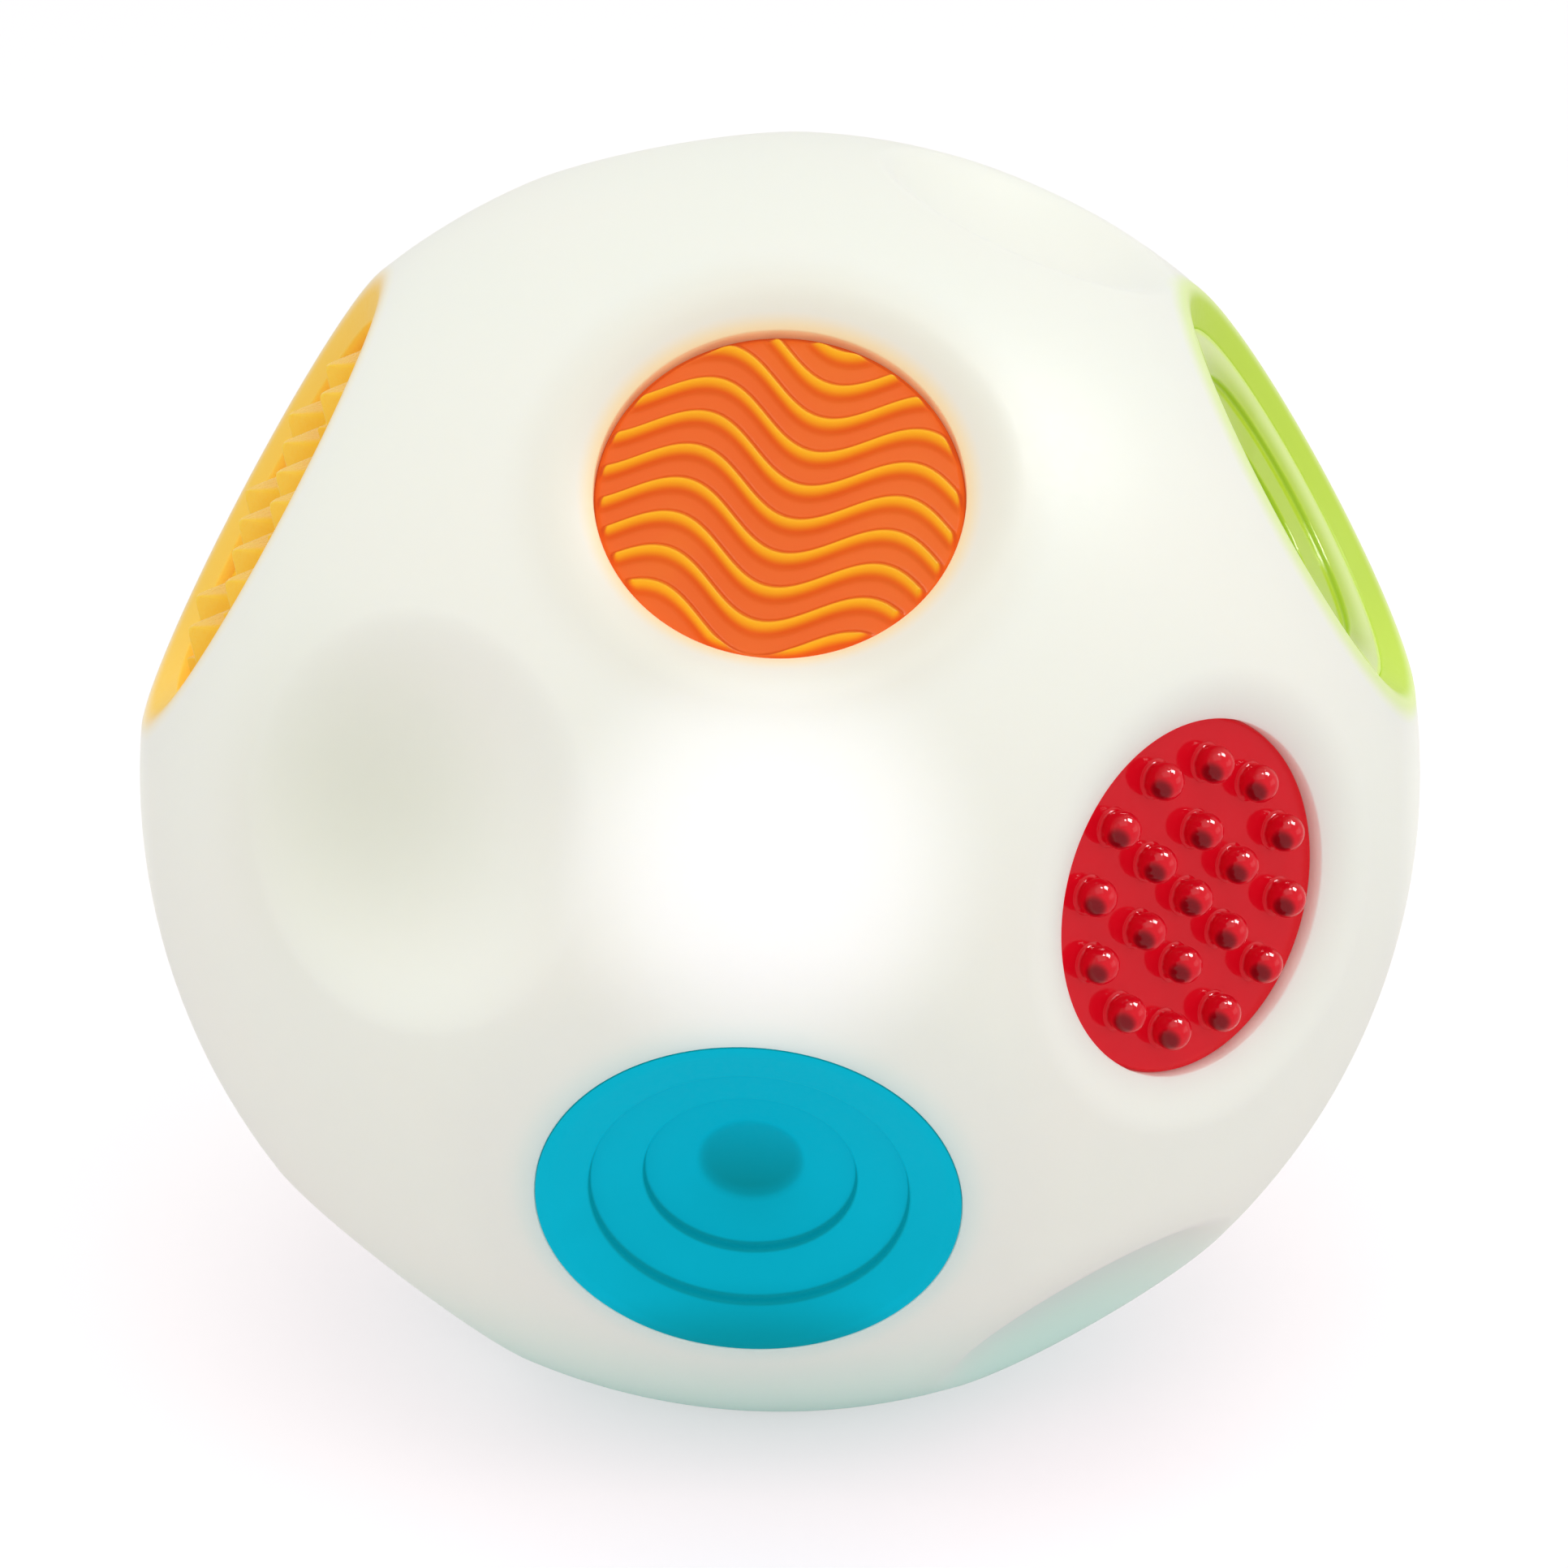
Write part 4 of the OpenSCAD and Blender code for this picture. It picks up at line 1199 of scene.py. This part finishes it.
@dataclass(frozen=True)
class NubDisc:
    """The red disc with its round-headed nubs.

    The turn and the neck are angles in degrees: how far the rings are turned, and where a bead ends.
    """

    place: Place
    radius: float
    thickness: float
    nub_r: float = 1.95
    stand: float = 1.4
    ring_r: float = 6.8
    turn: float = 15.0
    neck: float = -32.0
    foot_r: float = 2.2
    root: float = 0.2
    segments: int = 128
    nub_segments: int = 28

    def spots(self) -> Array:
        """Places of the nubs: one in the middle, and rings of six and twelve.

        Formula: a ring has six nubs for each step that it is out, at even angles.

        Returns:
            How far right and up each nub is.
        """
        places = [np.zeros((1, 2))]
        for ring in (1, 2):
            angle = np.radians(60.0 / ring * np.arange(6 * ring) + self.turn)
            places.append(np.column_stack([np.cos(angle), np.sin(angle)]) * ring * self.ring_r)
        return np.vstack(places)

    def nub_profile(self) -> Array:
        """Profile of a nub: a bead down to its neck, on a flared foot with its root in the disc.

        Formula: an arc from the top to the neck's angle, then straight runs.

        Returns:
            Radius and height of each point.
        """
        swell = np.radians(np.linspace(90.0, self.neck, 15))
        bead = np.stack([self.nub_r * np.cos(swell), self.stand + self.nub_r * np.sin(swell)], -1)
        flare = [[1.72, 0.14], [1.95, 0.03], [self.foot_r, -0.02]]
        foot = np.array([*flare, [self.foot_r, -self.root], [0.0, -self.root]])
        return np.vstack([bead, foot])[::-1]

    def make(self) -> None:
        """Builds and dresses the disc."""
        surface = Surface()
        floor = add_blank(surface, self.place, self.radius, self.thickness, self.stand, self.segments)
        for x, y in self.spots().tolist():
            surface.turned(self.nub_profile(), self.nub_segments, Place(floor.facing, floor.distance, (x, y)))
        piece = surface.build("nub_disc_beaded")
        # Painted shade on steep sides, a painted dark spot low on each head, and a painted glow
        rubber = RubberFinish("red_rubber", (212, 8, 28), (216, 12, 32), (112, 6, 16), self.place,
                              -1.4, 1.6, steep=0.25, roughness=0.16, coat=0.55, glow=0.26, specular=0.05,
                              painted_dark_share=0.9)
        dress(piece, rubber.material(), "nub_red", "shell", "nub_disc")


@dataclass(frozen=True)
class SteppedDisc:
    """A disc that is a bowl of round steps with a dimple in the middle.

    The slope is the share of each step's depth that slopes, and the brow rounds the place where the
    first slope starts.
    """

    place: Place
    radius: float
    thickness: float
    step: float
    rounding: float
    node: str
    slot: str
    rubber: RubberFinish
    slope: float = 0.6
    brow: float = 0.5
    segments: int = 160

    def make(self) -> None:
        """Builds and dresses the disc.

        Formula: the profile slopes inwards and then goes down a wall at three quarters and one half of
        the radius. At one quarter it runs into a round dimple.
        """
        radius, step, quarter = self.radius, self.step, self.radius / 4
        slope = self.slope * step
        lip = 2 * step + slope
        sweep = np.radians(np.linspace(88.0, 12.0, 11))
        dimple = np.stack([quarter * np.cos(sweep), (lip - 3 * step) * np.sin(sweep) - lip], -1)
        corners = [(1.12 * quarter, 0.12 * slope - lip), (2 * quarter, -2 * step),
                   (2 * quarter, -step - slope), (3 * quarter, -step), (3 * quarter, -slope),
                   (3.8 * quarter, 0.0), (radius, 0.0), *flange(radius, -self.thickness)]
        wall = 0.46 * (step - slope)
        outer = softened(corners, [wall] * 4 + [self.brow, self.rounding] + [BALL.edge_cut] * 3, 6)
        surface = Surface()
        profile = np.vstack([[[0.0, -3 * step]], dimple, outer])
        surface.turned(profile[::-1], self.segments, self.place)
        dress(surface.build(self.node + "_stepped"), self.rubber.material(), self.slot, "shell", self.node)


@dataclass(frozen=True)
class PyramidDisc:
    """The yellow disc with its large and small pyramids."""

    place: Place
    radius: float
    thickness: float
    height: float = 3.6
    base_r: float = 4.9
    pitch: float = 9.8
    small_r: float = 2.0
    small_h: float = 1.5
    root: float = 0.2
    segments: int = 144
    cone_segments: int = 48

    def pyramids(self) -> list[tuple[float, float, float, float]]:
        """Pyramids that fit on the disc, large ones in a square grid and small ones in its gaps.

        Formula: the spots of each grid that lie within the disc's radius less the pyramid's own.

        Returns:
            How far right and up each one is, its half diagonal and its height.
        """
        kinds = ((np.arange(-1.5, 2.0), self.base_r, self.height),
                 (np.arange(-2.0, 3.0), self.small_r, self.small_h))
        return [(float(i) * self.pitch, float(j) * self.pitch, base, height)
                for row, base, height in kinds for i in row for j in row
                if np.hypot(i, j) * self.pitch < self.radius - base]

    def make(self) -> None:
        """Builds and dresses the disc.

        Formula: a pyramid is a turned cone whose plan is a square with rounded corners, the radius
        divided by the tenth root of the summed tenth powers of cosine and sine.
        """
        surface = Surface()
        floor = add_blank(surface, self.place, self.radius, self.thickness, self.height / 3, self.segments)
        angle = np.arange(self.cone_segments) * 2 * np.pi / self.cone_segments
        plan = (np.abs(np.cos(angle)) ** 10 + np.abs(np.sin(angle)) ** 10) ** -0.1
        for x, y, base, height in self.pyramids():
            half = base / np.sqrt(2.0)
            corners = [[0.0, -self.root], [half, -self.root], [half, 0.0],
                       [0.12 * half, 0.88 * height], [0.0, 0.93 * height]]
            profile = softened(corners, [0.05, 0.05, 0.08 * height], 4)
            surface.turned(profile, self.cone_segments, Place(floor.facing, floor.distance, (x, y)), plan)
        piece = surface.build("pyramid_disc_peaked")
        # Painted highlight on the peaks, painted shade on steep sides, and a painted glow
        rubber = RubberFinish("yellow_rubber", (242, 190, 40), (248, 206, 70), (222, 156, 24), self.place,
                              -1.0, 1.6, steep=0.5, roughness=0.28, coat=0.2, glow=0.2)
        dress(piece, rubber.material(), "pyramid_yellow", "shell", "pyramid_disc")


@dataclass(frozen=True)
class Module:
    """The module inside: its CAD pieces keep their shapes and get their finishes."""

    nodes: dict[str, bpy.types.Object] = field(default_factory=dict)

    @staticmethod
    def finishes() -> dict[Finish, tuple[str, ...]]:
        """The finishes of the module.

        Returns:
            Each finish with the nodes that it goes on.
        """
        return {
            Finish("moulded_white", (238, 238, 232), (226, 227, 221), 0.42, grain=1200.0):
                ("base_plate", "housing", "battery_door"),
            # The diffuser's glow is painted light, for the lamps' light coming through it
            Finish("frosted_diffuser", (248, 248, 244), (238, 240, 236), 0.55, glow=0.5):
                ("diffuser",),
            Finish("zinc_screws", (176, 178, 182), (140, 142, 146), 0.32, 1.0, pattern=Pattern.BRUSHED):
                ("housing_screws", "door_screw_1", "door_screw_2", "board_screws"),
            Finish("dark_seal", (52, 52, 56), (40, 40, 44), 0.7): ("door_seal",),
            Finish("cell_sleeve", (120, 126, 136), (48, 52, 62), 0.3, 0.7, 0.3, pattern=Pattern.SLEEVED):
                ("battery_1", "battery_2", "battery_3"),
            Finish("plated_brass", (214, 196, 140), (190, 168, 110), 0.28, 1.0, pattern=Pattern.BRUSHED):
                ("door_contacts", "top_contacts"),
            Finish("spring_steel", (190, 192, 196), (150, 152, 156), 0.25, 1.0, pattern=Pattern.BRUSHED):
                ("battery_springs",),
            Finish("board_lacquer", (16, 92, 52), (28, 122, 70), 0.3, 0.0, 0.5, pattern=Pattern.BOARD):
                ("circuit_board",),
            Finish("red_lamp", (240, 120, 110), (225, 90, 84), 0.12, coat=0.6, glow=0.6): ("lamp_1",),
            Finish("green_lamp", (130, 226, 140), (96, 205, 110), 0.12, coat=0.6, glow=0.6): ("lamp_2",),
            Finish("blue_lamp", (120, 150, 240), (92, 124, 224), 0.12, coat=0.6, glow=0.6): ("lamp_3",),
            Finish("white_lamp", (244, 240, 218), (232, 226, 196), 0.12, coat=0.6, glow=0.8): ("lamp_4",),
            Finish("poured_epoxy", (18, 18, 20), (30, 30, 32), 0.18, coat=0.4): ("sound_chip",),
            Finish("capacitor_sleeve", (36, 38, 60), (150, 152, 160), 0.3, 0.1, pattern=Pattern.SLEEVED):
                ("capacitor",),
            Finish("resistor_lacquer", (186, 156, 112), (160, 128, 86), 0.35): ("resistors",),
            Finish("plated_can", (196, 196, 192), (168, 168, 164), 0.3, 1.0, pattern=Pattern.BRUSHED):
                ("sensor_can", "switch_case", "speaker_frame"),
            Finish("polished_ball", (222, 184, 96), (204, 164, 78), 0.14, 1.0): ("sensor_ball",),
            Finish("magnet_iron", (58, 58, 62), (44, 44, 48), 0.55, 0.6): ("speaker_magnet",),
            Finish("cone_paper", (30, 30, 32), (22, 22, 24), 0.8): ("speaker_cone",),
            Finish("dark_knob", (44, 44, 48), (34, 34, 38), 0.45): ("switch_knob",),
            Finish("red_sleeve", (196, 32, 32), (170, 24, 24), 0.45): ("battery_wires",),
            Finish("orange_sleeve", (230, 110, 30), (206, 92, 22), 0.45): ("speaker_wires",),
            Finish("black_sleeve", (22, 22, 24), (34, 34, 36), 0.45): ("switch_wires",),
        }

    def make(self) -> None:
        """Dresses the module's pieces."""
        for finish, names in self.finishes().items():
            material = finish.material()
            for name in names:
                for slot in self.nodes[name].material_slots:
                    slot.material = material
                LOG.info("%s: %s", name, finish.name)


@dataclass(frozen=True)
class Lamp:
    """A square area lamp that shines on the ball.

    Its reach from the ball's centre and its side are metres, its power is watts, and a gleam shows
    in reflections without lighting rough surfaces.
    """

    name: str
    facing: Facing
    reach: float
    side: float
    power: float
    gleam: bool = False

    def make(self) -> None:
        """Hangs the lamp."""
        data = bpy.data.lights.new(self.name, "AREA")
        data.shape = "SQUARE"
        data.size = self.side
        data.energy = self.power
        lamp = bpy.data.objects.new(self.name, data)
        lamp.matrix_world = Place(self.facing, self.reach / MM).looking_back()
        lamp.visible_diffuse = not self.gleam
        bpy.context.scene.collection.objects.link(lamp)


@dataclass(frozen=True)
class Studio:
    """Plain pale floor, soft light and the camera.

    Half the floor's side, and the span from the ball's foot over which its painted shadow fades, are metres.
    """

    distance: float = 680.0
    elevation: float = 21.0
    lens: float = 146.27
    frame_px: float = 1932.0
    ball_px: tuple[float, float] = (961.0, 950.5)
    sky: float = 0.64
    floor_half: float = 4.0
    # Painted shadow, darker and warmer, close round the ball's foot; the floor's own colour further out
    floor_painted_shadow: Colour = (227, 207, 215)
    floor_far: Colour = (229, 223, 226)
    painted_shadow_span: tuple[float, float] = (0.025, 0.085)
    floor_glow: float = 0.445
    lamps: tuple[Lamp, ...] = (
        Lamp("key_lamp", Facing(12.0, 68.0), 1.6, 1.3, 5.0),
        Lamp("side_lamp", Facing(-70.0, 12.0), 1.8, 1.2, 1.4),
        Lamp("fill_lamp", Facing(84.0, 2.0), 1.8, 1.2, 4.2),
        Lamp("window_gleam", Facing(96.0, 52.0), 1.5, 0.5, 26.0, gleam=True),
        Lamp("roof_gleam", Facing(72.0, 72.0), 1.5, 0.25, 6.0, gleam=True),
    )

    def camera(self) -> None:
        """Aims the camera at the ball's centre, shifted to frame it as the photograph does."""
        data = bpy.data.cameras.new("camera")
        data.lens = self.lens
        data.sensor_width = 36.0
        data.clip_end = 20.0
        data.shift_x = (self.frame_px / 2 - self.ball_px[0]) / self.frame_px
        data.shift_y = (self.ball_px[1] - self.frame_px / 2) / self.frame_px
        camera = bpy.data.objects.new("camera", data)
        camera.matrix_world = Place(Facing(0.0, self.elevation), self.distance).looking_back()
        bpy.context.scene.collection.objects.link(camera)
        bpy.context.scene.camera = camera

    def floor(self) -> None:
        """Lays the floor, white except where the ball shades it, with a painted shadow close round its foot.
        """
        mesh = bpy.data.meshes.new("floor")
        corners = self.floor_half * np.array([[-1, -1, 0], [1, -1, 0], [1, 1, 0], [-1, 1, 0]], float)
        mesh.from_pydata(corners.tolist(), [], [[0, 1, 2, 3]])
        floor = bpy.data.objects.new("floor", mesh)
        bpy.context.scene.collection.objects.link(floor)
        graph = MaterialGraph("floor")
        # Painted shadow: darker and warmer close to the ball's foot
        shadow_fade = graph.span(graph.vector("LENGTH", graph.coords), *self.painted_shadow_span)
        seen = graph.add("LightPath").outputs["Is Camera Ray"]
        graph.set(Base_Color=graph.mix(shadow_fade, srgb(*self.floor_painted_shadow), srgb(*self.floor_far)), Roughness=0.9,
                  Specular_IOR_Level=0.0, Emission_Color=(1.0, 1.0, 1.0, 1.0),
                  Emission_Strength=graph.math("MULTIPLY", seen, self.floor_glow))
        mesh.materials.append(graph.material)

    def world(self) -> None:
        """Lights the scene evenly, and shows white to the camera and through clear pieces."""
        world = bpy.data.worlds.new("world")
        bpy.context.scene.world = world
        world.use_nodes = True
        graph = Graph(world.node_tree)
        path = graph.add("LightPath").outputs
        seen = graph.math("MAXIMUM", path["Is Camera Ray"], path["Is Transmission Ray"])
        sky = world.node_tree.nodes["Background"]
        sky.inputs["Color"].default_value = (1.0, 1.0, 1.0, 1.0)
        graph.put(sky.inputs["Strength"], graph.span(seen, 0.0, 1.0, self.sky, 1.0, smooth=False))

    def make(self) -> None:
        """Sets up the view, the lights and the floor."""
        self.camera()
        self.world()
        self.floor()
        for lamp in self.lamps:
            lamp.make()
        bpy.context.scene.view_settings.view_transform = "Standard"


TextureDisc = Union[WaveDisc, NubDisc, SteppedDisc, PyramidDisc]


@dataclass(frozen=True)
class BallLayout:
    """Where every dish and disc is."""

    wave: DiscDish = DiscDish(Facing(0.0, 47.0), 21.8, 3.0)
    nub: DiscDish = DiscDish(Facing(41.5, 4.0), 21.8, 3.0)
    blue: DiscDish = DiscDish(Facing(-3.0, -20.5), 21.35, 0.5, disc_r=21.2, drop=0.05, disc_t=8.7)
    green: DiscDish = DiscDish(Facing(87.0, 30.5), 24.0, 1.3, disc_r=20.6, disc_t=6.6)
    pyramid: DiscDish = DiscDish(Facing(-89.5, 29.5), 26.0, disc_r=22.0)
    palm: BareDish = BareDish(Facing(-34.5, 13.0), 19.0, 3.6, depth=5.6)
    grip_r: float = 16.0
    top_grip: BareDish = BareDish(Facing(93.0, 67.0), grip_r, 1.2)
    grips: tuple[tuple[float, float], ...] = ((43, -45), (-65, -48), (-156, 64), (150, 26), (104, -17),
                                              (-122, -14), (164, -30), (-150, 18))

    def dishes(self) -> tuple[Dish, ...]:
        """All the dishes of the skin."""
        bare = tuple(BareDish(Facing(*spot), self.grip_r) for spot in self.grips)
        return (self.wave, self.nub, self.blue, self.green, self.pyramid, self.palm, self.top_grip, *bare)

    @staticmethod
    def seat(dish: DiscDish) -> Place:
        """Place of a disc's face."""
        return Place(dish.facing, dish.face())

    def skin(self) -> SoftSkin:
        """The skin with its painted light and painted shade.

        Returns:
            The skin, ready to be made.
        """
        front = Facing(-1.0, 13.0)
        painted_lights_shades = (
            # Painted yellow light of the yellow disc on its dish's wall
            PaintedLightShade(self.seat(self.pyramid), (246, 200, 66), 24.5, 28.5, 0.96),
            # Painted green light of the green disc on its dish's wall, pale and then strong
            PaintedLightShade(self.seat(self.green), (222, 240, 158), 24.6, 27.0, 0.9),
            PaintedLightShade(self.seat(self.green), (192, 219, 80), 23.0, 24.7, 1.0),
            # Painted shade on the ring round the orange dish, then a painted orange glow at its edge
            PaintedLightShade(self.seat(self.wave), (230, 225, 208), 20.0, 28.0, 0.6),
            PaintedLightShade(self.seat(self.wave), (253, 222, 150), 18.0, 20.2, 0.7),
            # Painted pale light round the red disc, and painted blue-green light round the blue disc
            PaintedLightShade(self.seat(self.nub), (226, 230, 222), 18.0, 23.0, 0.5),
            PaintedLightShade(self.seat(self.blue), (205, 232, 226), 21.0, 25.0, 0.45),
            # Painted shade on the left of the palm dish
            PaintedLightShade(Place(self.palm.facing, 62.0, (-9.0, 0.0)), (216, 219, 203), 0.0, 23.0, 0.6),
            # Painted light where the glow in the middle of the front is brightest
            PaintedLightShade(Place(front, BALL.ball_r), (252, 252, 252), 3.0, 25.0, 0.85),
            # Painted shade in the first grip dish, low on the right
            PaintedLightShade(Place(Facing(*self.grips[0]), 63.0, (-3.0, 3.0)), (210, 210, 208), 3.0, 21.0, 0.9),
        )
        # Directions in which the skin's painted glow is brighter, over the lamps inside
        lamps = (front, Facing(89.0, 0.0), Facing(180.0, 8.0), Facing(-92.0, -4.0))
        return SoftSkin(self.dishes(), MilkyFinish("milky_skin", painted_lights_shades, lamps))

    def discs(self) -> tuple[TextureDisc, ...]:
        """The five texture discs.

        Returns:
            The discs, ready to be made.
        """
        def fit(dish: DiscDish) -> tuple[Place, float, float]:
            """Place, radius and thickness of a dish's disc."""
            return self.seat(dish), dish.disc_r, dish.disc_t

        blue, green = self.seat(self.blue), self.seat(self.green)
        # Painted shade on the walls, low on the edge and low in the dimple, and a painted glow
        blue_rubber = RubberFinish("blue_rubber", (0, 171, 195), (0, 182, 208), (0, 138, 148), blue,
                                   -6.6, -5.95, steep=0.8, roughness=0.5, coat=0.0, glow=0.28, specular=0.06,
                                   fall=(13.5, 21.5), lean=0.6)
        # Painted light on the raised rim, painted shade on the walls, and a painted glow
        green_rubber = RubberFinish("green_rubber", (182, 210, 52), (218, 238, 140), (152, 188, 42), green,
                                    -0.9, -0.05, steep=0.6, roughness=0.16, coat=0.5, glow=0.22, specular=0.1)
        return (
            WaveDisc(*fit(self.wave)),
            NubDisc(*fit(self.nub)),
            SteppedDisc(*fit(self.blue), 2.3, 0.15, "blue_disc", "step_blue", blue_rubber),
            SteppedDisc(*fit(self.green), 1.6, 0.3, "green_disc", "step_green", green_rubber),
            PyramidDisc(*fit(self.pyramid)),
        )


def main() -> None:
    """Loads the frame and builds the ball's looks around it."""
    logging.basicConfig(level=logging.INFO, format="%(name)s: %(message)s")
    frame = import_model()
    Studio().make()
    layout = BallLayout()
    layout.skin().make()
    for disc in layout.discs():
        disc.make()
    Module(frame["nodes"]).make()


if __name__ == "__main__":
    main()
